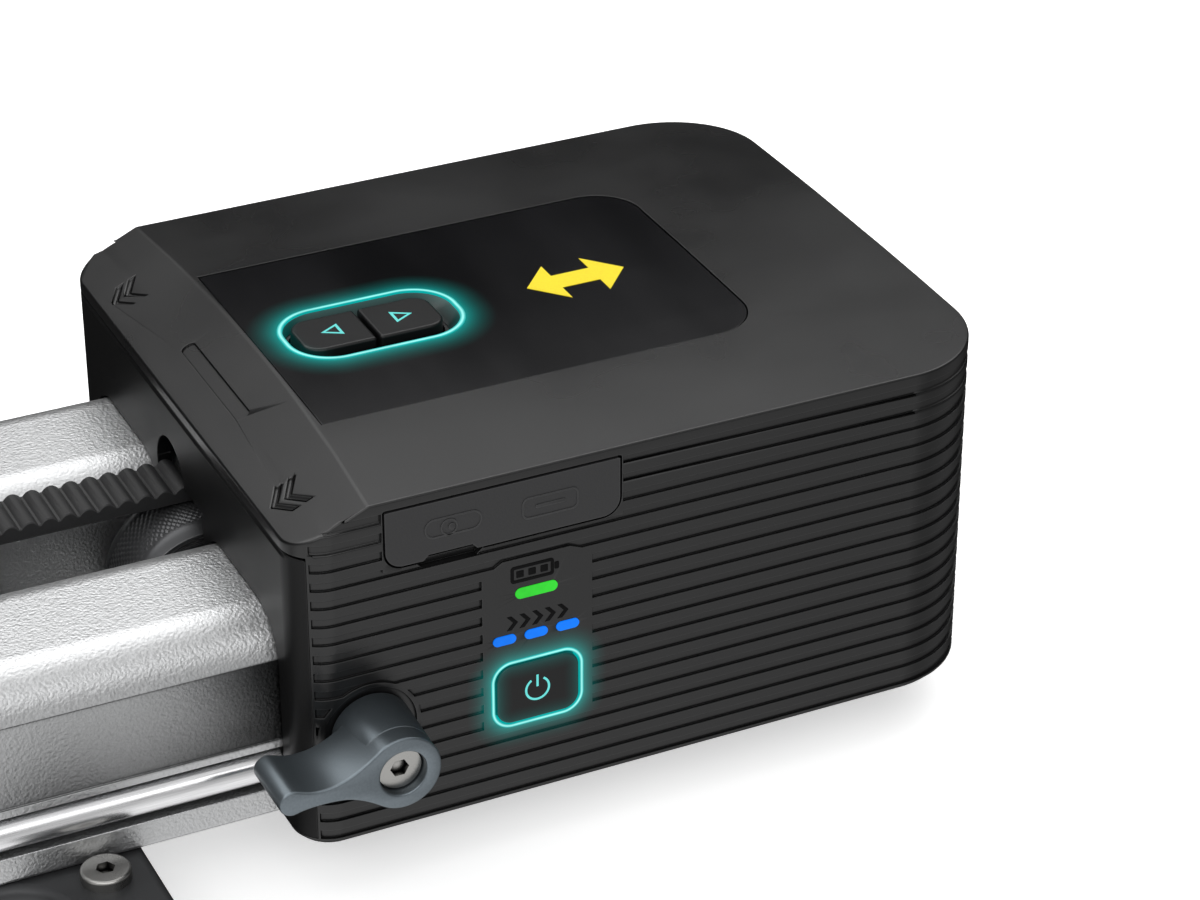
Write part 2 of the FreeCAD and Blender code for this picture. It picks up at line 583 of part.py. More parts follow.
# port flap, hinged along its upper edge on the outer face
x0, x1, z0, z1 = FLAP
flap = box(x0, x1, -HALF, -HALF + 1.5, z0, z1 - 0.1)
flap = round_edges(flap, "y", lambda c: 2.7 if c.z < 50 else 0.2)
flap = flap.cut(prism_y([(19.3, z0 - 1), (27.6, z0 - 1), (27.6, z0), (26.8, z0 + 0.8), (20.1, z0 + 0.8),
                         (19.3, z0)], -HALF - 1, -HALF + 5))
add("port_flap", in_module(flap))
usb = capsule_y(*USB, PORT_Y + 0.4, PORT_Y + 7.6)
usb = usb.cut(capsule_y(USB[0] + 0.5, USB[1] - 0.5, USB[2] + 0.5, USB[3] - 0.5, PORT_Y, PORT_Y + 6.6))
usb = join([usb, box(USB[0] + 1.6, USB[1] - 1.6, PORT_Y + 1.2, PORT_Y + 7.0, 48.5, 49.1)])
add("usb_socket", in_module(usb))
jack = cyl_y(JACK_X, PORT_Y + 0.4, PORT_Y + 10, JACK_Z, JACK_R)
add("trigger_socket", in_module(jack.cut(cyl_y(JACK_X, PORT_Y, PORT_Y + 9, JACK_Z, 1.75))))

# boards and battery
BOARD_OUTLINE = (16.0, 83.0, -33.0, 40.0)
board = box(*BOARD_OUTLINE, BOARD_Z0, BOARD_Z1)
for x, y in CORNER_POSTS:
    board = board.cut(cyl_z(x, y, 40, 50, POST_R + 0.4))
switches = [box((a + b) / 2 - 2.2, (a + b) / 2 + 2.2, -2.2, 2.2, BOARD_Z1, BOARD_Z1 + 0.8)
            for a, b in KEY_PAIR.values()]
chips = [box(52, 62, 10, 20, BOARD_Z1, BOARD_Z1 + 1.2), box(56, 63, -20, -13, BOARD_Z1, BOARD_Z1 + 1.2),
         box(70, 80, -10, 2, BOARD_Z1, BOARD_Z1 + 3.0)]
add("control_board", in_module(join([board] + switches + chips)))
front_board = box(27.0, 47.0, LIGHT_BACK, LIGHT_BACK + 1.6, 11.0, 42.0)
switch = box(33.6, 39.6, LIGHT_BACK - 0.1, LIGHT_BACK + 0.1, 15.5, 20.5)
add("front_board", in_module(join([front_board, switch])))
CELL_R, CELL_LENGTH = 9.2, 65.0
CELL_X = 98.0
CELL_Z = (15.0, 34.5)
cells = [cyl_y(CELL_X, -CELL_LENGTH / 2, CELL_LENGTH / 2, z, CELL_R) for z in CELL_Z]
add("battery_cells", in_module(Part.makeCompound(cells)))
holder = rbox(86.8, 109.2, -CELL_LENGTH / 2 - 2.2, CELL_LENGTH / 2 + 2.2, FLOOR_Z, 46.0, 2.0, "y")
for cell in cells:
    holder = holder.cut(cell)
holder = holder.cut(box(80, 120, -22, 22, FLOOR_Z + 3, 60))
add("battery_holder", in_module(holder))

# clamp lever with its screw, shaft and pad
# outline of the lever's arm as (distance from the boss towards the tip, height above its centre)
ARM_OUTLINE = [(LEVER_ARM, -1.7), (6.5, -2.6), (3.4, -4.7), (0, -4.0), (0, 4.4), (4.2, 4.0), (8.0, 1.3),
               (12.0, 0.4), (LEVER_ARM, 0.9)]
BEAD_R = 1.95                # rounded tip of the arm
HEAD_SEAT, HEAD_SEAT_R = 3.0, 3.55


def clamp_lever():
    inner_y, outer_y = -HALF + 0.1, -LEVER_FACE
    base = V(LEVER_X, inner_y, LEVER_Z)
    boss = Part.makeCone(LEVER_BASE_R, LEVER_RING_R, inner_y - outer_y, base, V(0, -1, 0))
    arm_y = inner_y - 1.4
    bead = cyl_y(LEVER_X - LEVER_ARM, outer_y, arm_y, LEVER_Z - 0.2, BEAD_R)
    web = prism_y([(LEVER_X - out, LEVER_Z + up) for out, up in ARM_OUTLINE], outer_y, arm_y)
    lever = join([boss, bead, web])
    lever = lever.cut(cyl_y(LEVER_X, outer_y - 1, outer_y + HEAD_SEAT, LEVER_Z, HEAD_SEAT_R))
    return lever.cut(cyl_y(LEVER_X, outer_y, 0, LEVER_Z, SCREW_R))


add("clamp_lever", in_module(clamp_lever()))
PAD_Y = -RAIL_OUTER_Y
screw = join([cyl_y(LEVER_X, -LEVER_FACE + 1.6, -LEVER_FACE + HEAD_SEAT, LEVER_Z, HEAD_SEAT_R - 0.25),
              cyl_y(LEVER_X, -LEVER_FACE + HEAD_SEAT, -HALF + 0.1, LEVER_Z, SCREW_R),
              cyl_y(LEVER_X, -HALF + 0.1, PAD_Y - 2.0 - FREE, LEVER_Z, CLAMP_SHAFT_R)])
screw = screw.cut(hex_prism(LEVER_X, LEVER_Z, -LEVER_FACE + 1.0, -LEVER_FACE + 2.6, HEX_M4, V(0, 1, 0)))
add("clamp_screw", in_module(screw))
pad = rbox(LEVER_X - 6, LEVER_X + 6, PAD_Y - 2.0, PAD_Y + 0.35, LEVER_Z - 3.4, LEVER_Z + 5, 1.0, "y")
add("clamp_pad", in_module(pad))


# ---- tail end -----------------------------------------------------------------------------------

TAIL_Z0, TAIL_Z1 = MODULE_Z, MODULE_Z + 42.0
TAIL_HALF = 44.0
TENSION_Y = (BELT_Y0 + BELT_Y1) / 2
tail_end = TAIL_X - TAIL_LENGTH
WHEEL_LINE = MODULE_Z + WHEEL_Z
COVER_SCREW_Y = 27.0


def end_block():
    body = box(TAIL_X - TAIL_LENGTH, TAIL_X, -TAIL_HALF, TAIL_HALF, TAIL_Z0, TAIL_Z1)
    body = round_edges(body, "z", lambda c: 10.0 if c.x < TAIL_X - 1 else 2.0)
    socket = rail_outline(RAIL_X0, TAIL_X + 1)
    body = body.cut(socket).cut(mirror_y(socket))
    reach = RIM + 1.4 + 2.8      # the slot passes the pulley's flange and the belt's teeth
    slot = box(tail_end + 2.6, TAIL_X + 1, FLANGE_Y0 - 0.6, FLANGE_Y1 + 0.6,
               WHEEL_LINE - reach, WHEEL_LINE + reach)
    body = body.cut(slot)
    body = body.cut(cyl_y(TAIL_WHEEL_X, *TAIL_AXLE_Y, WHEEL_LINE, AXLE_R))
    return body.cut(cyl_x(tail_end - 1, tail_end + 4, TENSION_Y, WHEEL_LINE, SCREW_R))


add("end_block", end_block())
cover = rbox(tail_end - 3, tail_end, -TAIL_HALF + 9, TAIL_HALF - 9, TAIL_Z0 + 4, TAIL_Z1 - 4, 6.0, "x")
cover = cover.cut(cyl_x(tail_end - 4, tail_end + 1, TENSION_Y, WHEEL_LINE, 4.0))
for sy in (-1, 1):
    cover = cover.cut(cyl_x(tail_end - 4, tail_end - 1.4, sy * COVER_SCREW_Y, WHEEL_LINE, 2.9))
add("end_cover", cover)
tension = join([cyl_x(tail_end - 2.6, tail_end, TENSION_Y, WHEEL_LINE, 3.5),
                cyl_x(tail_end, tail_end + 2.4, TENSION_Y, WHEEL_LINE, SCREW_R)])
hex_x = hex_prism(0, 0, 0, 1.6, HEX_M4)
hex_x.rotate(V(0, 0, 0), V(0, 1, 0), 90)
tension = tension.cut(hex_x.translated(V(tail_end - 2.7, TENSION_Y, WHEEL_LINE)))
add("belt_tension_screw", tension)
cover_screws = []
for sy in (-1, 1):
    head = cyl_x(tail_end - 2.9, tail_end - 1.4, sy * COVER_SCREW_Y, WHEEL_LINE, 2.8)
    cover_screws.append(head.cut(hex_x.translated(V(tail_end - 3.5, sy * COVER_SCREW_Y, WHEEL_LINE))))
cover_screws += [in_module(screw) for screw in module_screws()]
add("cover_screws", Part.makeCompound(cover_screws))


# ---- carriage -----------------------------------------------------------------------------------

SIDE_Y0, SIDE_Y1 = 41.0, 57.4
SIDE_Z0 = 21.5
SIDE_SCREW_X, SIDE_MIDDLE = 24.0, (SIDE_Y0 + SIDE_Y1) / 2
GROOVE_R = 7.4               # radius at the bottom of a roller's groove
ROLLER_Y = ROD_Y + ROD_R + FREE + GROOVE_R
ROLLER_AXLE_R = 2.5
RACE_R = 4.5


def soften(shape, z, r):
    rim = [e for e in shape.Edges if abs(e.CenterOfMass.z - z) < 1e-4 and e.Length > 3]
    return shape.makeFillet(r, rim)


plate = rbox(-CARRIAGE_HALF, CARRIAGE_HALF, -SIDE_Y1, SIDE_Y1, PLATE_Z0, PLATE_Z1, 8.0)
plate = soften(plate, PLATE_Z1, 1.2)
HEAD_Z = PLATE_Z0 + 3.0
STUD_NECK_R = 4.2
plate = plate.cut(cyl_z(0, 0, PLATE_Z0 - 1, PLATE_Z1 + 1, STUD_NECK_R))
plate = plate.cut(cyl_z(0, 0, PLATE_Z0 - 1, HEAD_Z, 9.0))
SIDE_SCREWS = [(sx * SIDE_SCREW_X, sy * SIDE_MIDDLE) for sx in (-1, 1) for sy in (-1, 1)]
for x, y in SIDE_SCREWS:
    plate = plate.cut(cyl_z(x, y, PLATE_Z0 - 1, PLATE_Z1 + 1, SCREW_R))
    plate = plate.cut(cyl_z(x, y, PLATE_Z1 - HEAD_DEPTH, 60, HEAD_HOLE_R))
LEVEL_X, LEVEL_Y = -41.0, 0.0
LEVEL_R, VIAL_R, LEVEL_DEPTH = 6.0, 4.6, 5.0
plate = plate.cut(cyl_z(LEVEL_X, LEVEL_Y, PLATE_Z1 - LEVEL_DEPTH, PLATE_Z1 + 1, LEVEL_R))
add("carriage_plate", plate)

side = rbox(-CARRIAGE_HALF, CARRIAGE_HALF, SIDE_Y0, SIDE_Y1, SIDE_Z0, PLATE_Z0, 5.0)
for sx in (-1, 1):
    side = side.cut(cyl_z(sx * ROLLER_X, ROLLER_Y, SIDE_Z0 - 1, SIDE_Z0 + 14, ROLLER_AXLE_R))
    side = side.cut(cyl_z(sx * SIDE_SCREW_X, SIDE_MIDDLE, PLATE_Z0 - 12, PLATE_Z0 + 1, SCREW_R))
window = rbox(-17, 17, SIDE_Y0 - 1, SIDE_Y1 + 1, SIDE_Z0 + 5, PLATE_Z0 - 6, 3.0, "y")
side = side.cut(window)
add("carriage_side_back", side)
add("carriage_side_front", mirror_y(side))


def roller(x, y):
    """Grooved roller; its groove stays clear of the rod by the free gap."""
    body = cyl_z(0, 0, ROD_Z - ROLLER_HALF, ROD_Z + ROLLER_HALF, ROLLER_R)
    body = body.cut(cyl_z(0, 0, ROD_Z - 9, ROD_Z + 9, RACE_R + RUN))
    reach = GROOVE_R + ROD_R + FREE
    groove_tool = Part.makeTorus(reach, ROD_R + FREE, V(0, 0, ROD_Z), V(0, 0, 1))
    return body.cut(groove_tool).translated(V(x, y, 0))


axles, races = [], []
for side_name, sy in (("front", -1), ("back", 1)):
    for end_name, sx in (("left", -1), ("right", 1)):
        x, y = sx * ROLLER_X, sy * ROLLER_Y
        add(f"roller_{side_name}_{end_name}", roller(x, y))
        race = cyl_z(x, y, ROD_Z - ROLLER_HALF - FREE, SIDE_Z0, RACE_R)
        races.append(race.cut(cyl_z(x, y, 0, 60, ROLLER_AXLE_R)))
        head_z = ROD_Z - ROLLER_HALF - FREE
        head = cyl_z(x, y, head_z - 1.7, head_z, 6.0).cut(hex_prism(x, y, head_z - 2, head_z - 0.8, 3.0))
        axles.append(join([head, cyl_z(x, y, head_z, SIDE_Z0 + 13, ROLLER_AXLE_R)]))
add("roller_axles", Part.makeCompound(axles))
add("roller_bearings", Part.makeCompound(races))

screws = []
for x, y in SIDE_SCREWS:
    head = cyl_z(x, y, PLATE_Z1 - HEAD_DEPTH, PLATE_Z1 - 0.2, HEAD_R)
    head = head.cut(hex_prism(x, y, PLATE_Z1 - 1.6, 60, HEX_M4))
    screws.append(join([head, cyl_z(x, y, PLATE_Z0 - 11, PLATE_Z1 - HEAD_DEPTH, SCREW_R)]))
add("carriage_screws", Part.makeCompound(screws))
PAD_Z = PLATE_Z1 + 1.0
rubber = rbox(-32, 32, -28, 28, PLATE_Z1, PAD_Z, 6.0).cut(cyl_z(0, 0, 50, 60, 11.0))
add("carriage_pad", rubber)
stud = join([cyl_z(0, 0, PLATE_Z0, HEAD_Z, 8.8), cyl_z(0, 0, HEAD_Z, PLATE_Z1, STUD_NECK_R),
             cyl_z(0, 0, PLATE_Z1, PAD_Z + 11.0, THREAD_3_8_R)])
tip = [e for e in stud.Edges if abs(e.CenterOfMass.z - PAD_Z - 11.0) < 1e-4]
stud = stud.makeChamfer(0.8, tip).cut(box(-9, 9, -0.8, 0.8, PLATE_Z0 - 1, PLATE_Z0 + 1.4))
add("camera_stud", stud)
vial_z = PLATE_Z1 - LEVEL_DEPTH + 1
level = cyl_z(LEVEL_X, LEVEL_Y, PLATE_Z1 - LEVEL_DEPTH, PLATE_Z1 + 0.8, LEVEL_R)
level = level.cut(cyl_z(LEVEL_X, LEVEL_Y, vial_z, PLATE_Z1 + 2, VIAL_R))
add("level_housing", level)
add("level_vial", cyl_z(LEVEL_X, LEVEL_Y, vial_z, PLATE_Z1 + 0.5, VIAL_R))

BELT_LOW = MODULE_Z + WHEEL_Z + WHEEL_R
BELT_HIGH = BELT_LOW + BELT_THICK
CLAMP_HALF, CLAMP_Y0 = 14.0, -6.0
upper_jaw = box(-CLAMP_HALF, CLAMP_HALF, CLAMP_Y0, BELT_Y1 + 0.3, BELT_HIGH + FREE, PLATE_Z0)
lower_jaw = join([box(-CLAMP_HALF, CLAMP_HALF, CLAMP_Y0, BELT_Y1 - 0.3, BELT_LOW - FREE - 2.6, BELT_LOW - FREE),
                  box(-CLAMP_HALF, CLAMP_HALF, CLAMP_Y0, BELT_Y0 - 0.4, BELT_LOW - FREE, BELT_HIGH + FREE)])
add("belt_clamp", Part.makeCompound([upper_jaw, lower_jaw]))


# ---- feet and tripod plate ----------------------------------------------------------------------

FOOT_TOP, FOOT_BOTTOM = RAIL_Z, 1.5
GROUND = -2.5
LEG_X = 211.2
LEG_HALF = 7.4
LEG_END = 66.0
FOOT_SCREW_Y = 43.3
FOOT_HEAD = 1.8              # height of the screw heads that stand on the feet
FOOT_X0 = 182.0
FILLET = 8.0


def foot():
    """Cross bar under both rails with a leg at each side; a concave fillet joins leg and bar."""
    bar = rbox(FOOT_X0, LEG_X + LEG_HALF, -40, 40, FOOT_BOTTOM, FOOT_TOP, 4.0)
    leg = rbox(LEG_X - LEG_HALF, LEG_X + LEG_HALF, -LEG_END, LEG_END, FOOT_BOTTOM, FOOT_TOP, LEG_HALF - 0.1)
    x = LEG_X - LEG_HALF
    corners = []
    for sy in (-1, 1):
        y0, y1 = sorted((sy * 40, sy * (40 + FILLET)))
        corner = box(x - FILLET, x, y0, y1, FOOT_BOTTOM, FOOT_TOP)
        corners.append(corner.cut(cyl_z(x - FILLET, sy * (40 + FILLET), 0, 20, FILLET)))
    body = join([bar, leg] + corners)
    rim = [e for e in body.Edges if abs(e.CenterOfMass.z - FOOT_TOP) < 1e-4]
    body = body.makeFillet(1.6, rim)
    for sy in (-1, 1):
        body = body.cut(cyl_z(LEG_X, sy * FOOT_SCREW_Y, 0, 20, SCREW_R))
        x, y = RAIL_SCREW_X[1], sy * RAIL_SCREW_Y
        body = body.cut(cyl_z(x, y, 0, 20, SCREW_R))
        body = body.cut(cyl_z(x, y, 0, FOOT_BOTTOM + HEAD_DEPTH, HEAD_HOLE_R))
    return body


foot_shape = foot()
add("foot_drive_end", foot_shape)
add("foot_tail_end", mirror_x(foot_shape))
pads, foot_screws = [], []
for sx in (-1, 1):
    for sy in (-1, 1):
        y0, y1 = sorted((sy * 37.0, sy * (LEG_END - 1.5)))
        pad = rbox(sx * LEG_X - 6, sx * LEG_X + 6, y0, y1, GROUND, FOOT_BOTTOM, 5.9)
        x, y = sx * LEG_X, sy * FOOT_SCREW_Y
        pads.append(pad.cut(cyl_z(x, y, GROUND + 1.5, 5, SCREW_R)))
        head_top = FOOT_TOP + FOOT_HEAD
        head = cyl_z(x, y, FOOT_TOP, head_top, HEAD_R)
        top = [e for e in head.Edges if abs(e.CenterOfMass.z - head_top) < 1e-4]
        head = head.makeFillet(0.5, top).cut(hex_prism(x, y, FOOT_TOP + 0.5, 20, HEX_M4))
        stem = cyl_z(x, y, GROUND + 1.5, FOOT_TOP, SCREW_R)
        foot_screws.append(join([head, stem]))
add("foot_pads", Part.makeCompound(pads))

tripod_plate = rbox(-46, 46, -38, 38, 0, RAIL_Z, 8.0)
tripod_plate = tripod_plate.cut(cyl_z(0, 0, -1, 20, THREAD_3_8_R))
for sx in (-1, 1):
    tripod_plate = tripod_plate.cut(cyl_z(sx * 22, 0, -1, 20, THREAD_1_4_R))
    for sy in (-1, 1):
        x, y = sx * RAIL_SCREW_X[0], sy * RAIL_SCREW_Y
        tripod_plate = tripod_plate.cut(cyl_z(x, y, -1, 20, SCREW_R))
        tripod_plate = tripod_plate.cut(cyl_z(x, y, -1, HEAD_DEPTH, HEAD_HOLE_R))
add("tripod_plate", tripod_plate)


def rail_screw(x, y, seat_z):
    head = cyl_z(x, y, seat_z - HEAD_DEPTH + 0.2, seat_z, HEAD_R)
    head = head.cut(hex_prism(x, y, seat_z - 3, seat_z - 1.0, HEX_M4))
    return join([head, cyl_z(x, y, seat_z, RAIL_Z + RAIL_WALL, SCREW_R)])


base_screws = list(foot_screws)
for x, seat in zip(RAIL_SCREW_X, (HEAD_DEPTH, FOOT_BOTTOM + HEAD_DEPTH)):
    for sx in (-1, 1):
        base_screws += [rail_screw(sx * x, sy * RAIL_SCREW_Y, seat) for sy in (-1, 1)]
add("base_screws", Part.makeCompound(base_screws))


# ---- output -------------------------------------------------------------------------------------

for name, shape in nodes.items():
    if not shape.isValid():
        print("not valid:", name)
    solids = shape.Solids
    if not solids:
        print("no solid:", name)
    out = solids[0] if len(solids) == 1 else Part.makeCompound(solids)
    out.exportStep(f"parts/{name}.step")
print(len(nodes), "nodes")
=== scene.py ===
"""Looks of the motorised camera slider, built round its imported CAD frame.

Blender lengths are metres. Lengths given in millimetres go through at() or MM first.
"""

import json
import math

import bmesh
import bpy
from mathutils import Matrix, Vector

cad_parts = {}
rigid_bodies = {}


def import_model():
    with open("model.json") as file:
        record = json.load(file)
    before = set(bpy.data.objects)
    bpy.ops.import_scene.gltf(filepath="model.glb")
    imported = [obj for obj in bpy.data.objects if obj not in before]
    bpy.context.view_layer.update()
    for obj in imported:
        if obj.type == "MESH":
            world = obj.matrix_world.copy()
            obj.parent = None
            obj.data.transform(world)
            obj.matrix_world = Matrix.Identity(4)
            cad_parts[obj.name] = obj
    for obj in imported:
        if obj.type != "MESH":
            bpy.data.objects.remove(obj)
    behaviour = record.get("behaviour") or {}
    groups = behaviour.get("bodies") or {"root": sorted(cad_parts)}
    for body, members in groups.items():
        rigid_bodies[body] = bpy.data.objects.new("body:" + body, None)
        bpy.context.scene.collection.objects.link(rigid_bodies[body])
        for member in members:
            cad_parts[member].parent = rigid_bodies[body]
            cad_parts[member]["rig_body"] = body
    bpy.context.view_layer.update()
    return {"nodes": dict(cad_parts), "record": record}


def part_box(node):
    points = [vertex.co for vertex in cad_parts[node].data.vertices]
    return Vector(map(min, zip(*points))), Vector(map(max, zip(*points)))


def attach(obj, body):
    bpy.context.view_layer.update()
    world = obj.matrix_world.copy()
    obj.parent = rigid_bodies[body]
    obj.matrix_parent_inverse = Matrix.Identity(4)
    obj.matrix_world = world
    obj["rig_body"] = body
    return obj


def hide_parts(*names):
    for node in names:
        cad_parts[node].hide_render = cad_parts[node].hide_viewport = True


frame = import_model()

MM = 0.001
SLOT_OF = {part["node"]: part["material_slot"] for part in frame["record"]["subparts"]}
SHELL_LOW, SHELL_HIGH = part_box("module_shell")
FACE_X = SHELL_LOW.x                                  # rail entry face of the drive module
FRONT_Y = SHELL_LOW.y                                 # front wall of the drive module
MODULE_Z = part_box("module_bottom_cover")[0].z         # underside of the drive module
CROWN_Z = SHELL_HIGH.z                                # top of the drive module's crown
FLOOR_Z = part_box("foot_pads")[0].z


def at(x, y, z):
    """A point given in millimetres from the module's rail entry face, centre plane and underside."""
    return Vector((FACE_X + x * MM, y * MM, MODULE_Z + z * MM))


# ---- node trees ---------------------------------------------------------------------------------

class Finish:
    """One material's node tree, with short calls for the nodes that the finishes share."""

    def __init__(self, name, roughness=0.5, metallic=0.0):
        self.material = bpy.data.materials.new(name)
        self.material.use_nodes = True
        self.tree = self.material.node_tree
        self.shader = self.tree.nodes["Principled BSDF"]
        self.shader.inputs["Metallic"].default_value = metallic
        self.shader.inputs["Roughness"].default_value = roughness
        self.place = self.new("ShaderNodeTexCoord").outputs["Object"]

    def new(self, kind, **settings):
        node = self.tree.nodes.new(kind)
        for key, value in settings.items():
            setattr(node, key, value)
        return node

    def feed(self, socket, value):
        if isinstance(value, bpy.types.NodeSocket):
            self.tree.links.new(value, socket)
        elif hasattr(value, "__len__") and len(value) == 3 and len(socket.default_value) == 4:
            socket.default_value = (*value, 1.0)
        else:
            socket.default_value = value

    def set(self, name, value):
        self.feed(self.shader.inputs[name], value)

    def sum(self, operation, a, b=0.0):
        """One step of arithmetic on sockets or numbers."""
        node = self.new("ShaderNodeMath", operation=operation)
        self.feed(node.inputs[0], a)
        self.feed(node.inputs[1], b)
        return node.outputs[0]

    def stretched(self, scale):
        node = self.new("ShaderNodeMapping")
        self.feed(node.inputs["Vector"], self.place)
        node.inputs["Scale"].default_value = scale
        return node.outputs[0]

    def noise(self, size_mm, detail=2.0, stretch=(1, 1, 1)):
        """Cloudy noise from 0 to 1 whose lumps are about size_mm across."""
        node = self.new("ShaderNodeTexNoise")
        self.feed(node.inputs["Vector"], self.stretched(stretch))
        node.inputs["Scale"].default_value = 1.0 / (size_mm * MM)
        node.inputs["Detail"].default_value = detail
        return node.outputs["Fac"]

    def cells(self, size_mm):
        """Distance to the nearest middle of cells about size_mm across."""
        node = self.new("ShaderNodeTexVoronoi", feature="F1")
        self.feed(node.inputs["Vector"], self.place)
        node.inputs["Scale"].default_value = 1.0 / (size_mm * MM)
        return node.outputs["Distance"]

    def axis(self, letter):
        node = self.new("ShaderNodeSeparateXYZ")
        self.feed(node.inputs[0], self.place)
        return node.outputs[letter]

    def span(self, value, low, high, to_low=0.0, to_high=1.0):
        """Map low..high to to_low..to_high, held at both ends."""
        node = self.new("ShaderNodeMapRange")
        for socket, v in zip(node.inputs, (value, low, high, to_low, to_high)):
            self.feed(socket, v)
        return node.outputs[0]

    def mix(self, share, a, b):
        node = self.new("ShaderNodeMix", data_type="RGBA")
        self.feed(node.inputs[0], share)
        self.feed(node.inputs[6], a)
        self.feed(node.inputs[7], b)
        return node.outputs[2]

    def bump(self, height, depth_mm):
        """Normal of a surface raised by height times depth_mm."""
        node = self.new("ShaderNodeBump")
        node.inputs["Distance"].default_value = depth_mm * MM
        node.inputs["Strength"].default_value = 1.0
        self.feed(node.inputs["Height"], height)
        return node.outputs[0]

    def edges(self, radius_mm):
        """From 0 on flat stretches to 1 on edges, from the turn of a rounded normal."""
        bevel = self.new("ShaderNodeBevel", samples=4)
        bevel.inputs["Radius"].default_value = radius_mm * MM
        turn = self.new("ShaderNodeVectorMath", operation="DOT_PRODUCT")
        self.feed(turn.inputs[0], bevel.outputs[0])
        self.feed(turn.inputs[1], self.new("ShaderNodeNewGeometry").outputs["Normal"])
        return self.span(turn.outputs["Value"], 1.0, 0.80, 0.0, 1.0)

    def cut_shade(self, reach_mm):
        """Mask for painted shade: from 0 in the open to 1 deep inside narrow cuts and sockets."""
        shade = self.new("ShaderNodeAmbientOcclusion", samples=8, only_local=True)
        shade.inputs["Distance"].default_value = reach_mm * MM
        return self.span(shade.outputs["AO"], 0.95, 0.55, 0.0, 1.0)


def scaled(colour, factor):
    return tuple(min(1.0, c * factor) for c in colour)


def outline_glow(f, across, up, box_mm, radius_mm, reach_mm):
    """Falls from 1 on a rounded rectangle's line to 0 away from it; box_mm is x0, x1, y0, y1 in the frame."""
    x0, x1, y0, y1 = [v * MM for v in box_mm]
    r = radius_mm * MM
    ax = f.sum("SUBTRACT", f.sum("ABSOLUTE", f.sum("SUBTRACT", across, (x0 + x1) / 2)), (x1 - x0) / 2 - r)
    ay = f.sum("SUBTRACT", f.sum("ABSOLUTE", f.sum("SUBTRACT", up, (y0 + y1) / 2)), (y1 - y0) / 2 - r)
    px, py = f.sum("MAXIMUM", ax, 0.0), f.sum("MAXIMUM", ay, 0.0)
    outside = f.sum("SQRT", f.sum("ADD", f.sum("MULTIPLY", px, px), f.sum("MULTIPLY", py, py)))
    inside = f.sum("MINIMUM", f.sum("MAXIMUM", ax, ay), 0.0)
    distance = f.sum("ABSOLUTE", f.sum("SUBTRACT", f.sum("ADD", outside, inside), r))
    return f.sum("POWER", math.e, f.sum("MULTIPLY", distance, -1.0 / (reach_mm * MM)))


# ---- finishes -----------------------------------------------------------------------------------

CYAN = (0.0, 0.62, 0.56)
# The light rings: outer outline x0, x1, y0, y1 (z0, z1 on the front), corner radius and width of the line,
# in millimetres of the module.
PILL_MM, PILL_R, PILL_LINE = (17.5, 46.1, -8.2, 8.6), 7.4, 0.8
POWER_MM, POWER_R, POWER_LINE = (29.3, 44.0, 12.5, 23.9), 3.3, 0.55
KEYS_MM = (19.7, 42.3, -4.8, 5.1)                     # outline round both travel keys
GREEN_X, BLUE_X = (33.3, 39.9), (29.7, 43.3)          # ends of the status light and of the speed lights' row


def in_frame(box_mm, z=False):
    """A module rectangle x0, x1, y0, y1 (or z0, z1) in the frame's millimetres."""
    x0, x1, y0, y1 = box_mm
    dx, dz = FACE_X / MM, MODULE_Z / MM if z else 0.0
    return (x0 + dx, x1 + dx, y0 + dz, y1 + dz)


def moulded(name, colour, roughness, grain_mm=0.22, grain=0.010, edge=0.10, edge_mm=0.25, cut_shade_mm=0.0):
    """Matt moulded plastic or paint: a fine spark-eroded grain, cloudy tone, edges lightened as rubbed wear
    and painted highlight, and painted shade inside narrow cuts when a cut reach is given.
    """
    f = Finish(name, roughness)
    cloud = f.noise(28.0, 3.0)
    tone = f.mix(f.span(cloud, 0.3, 0.7), scaled(colour, 0.88), scaled(colour, 1.10))
    speck = f.noise(grain_mm, 2.0)
    tone = f.mix(f.span(speck, 0.25, 0.8, 0.0, 0.5), tone, scaled(colour, 1.35))
    # Edges lightened through a noisy mask: partly rubbed wear, partly a painted highlight along every edge.
    wear_and_highlight = f.sum("MULTIPLY", f.edges(edge_mm), f.span(f.noise(3.0, 3.0), 0.2, 0.7, 0.55, 1.0))
    tone = f.mix(f.sum("MULTIPLY", wear_and_highlight, 0.8), tone, tuple(c + edge for c in colour))
    # Painted shade: an occlusion mask darkens narrow cuts and damps their reflection.
    if cut_shade_mm:
        dark = f.cut_shade(cut_shade_mm)
        tone = f.mix(dark, tone, scaled(colour, 0.2))
        f.set("Specular IOR Level", f.span(dark, 0.0, 1.0, 0.5, 0.05))
    f.set("Base Color", tone)
    f.set("Roughness", f.span(cloud, 0.3, 0.7, roughness - 0.04, roughness + 0.05))
    f.set("Normal", f.bump(speck, grain))
    return f


def lit_by_ring(f, strength, power=False, pill=False, reach_mm=1.3):
    """Add the cyan light that the rings throw round the power button and the travel keys."""
    total = None
    if power:
        glow = outline_glow(f, f.axis("X"), f.axis("Z"), in_frame(POWER_MM, z=True), POWER_R, reach_mm)
        total = f.sum("MULTIPLY", glow, f.span(f.axis("Y"), FRONT_Y + 2.5 * MM, FRONT_Y + 1.5 * MM))
    if pill:
        glow = outline_glow(f, f.axis("X"), f.axis("Y"), in_frame(PILL_MM), PILL_R, reach_mm)
        glow = f.sum("MULTIPLY", glow, f.span(f.axis("Z"), CROWN_Z - 4 * MM, CROWN_Z - 3 * MM))
        total = glow if total is None else f.sum("ADD", total, glow)
    f.set("Emission Color", CYAN)
    f.set("Emission Strength", f.sum("MULTIPLY", f.span(total, 0.05, 1.0), strength))


def shell_finish():
    """The module's matt plastic, with the light of the power button's ring falling on it and painted shade in
    its narrow cuts.
    """
    f = moulded("shell_plastic_matt", (0.0048, 0.0048, 0.0050), 0.29, edge=0.05, cut_shade_mm=0.38)
    lit_by_ring(f, 0.34, power=True)
    return f


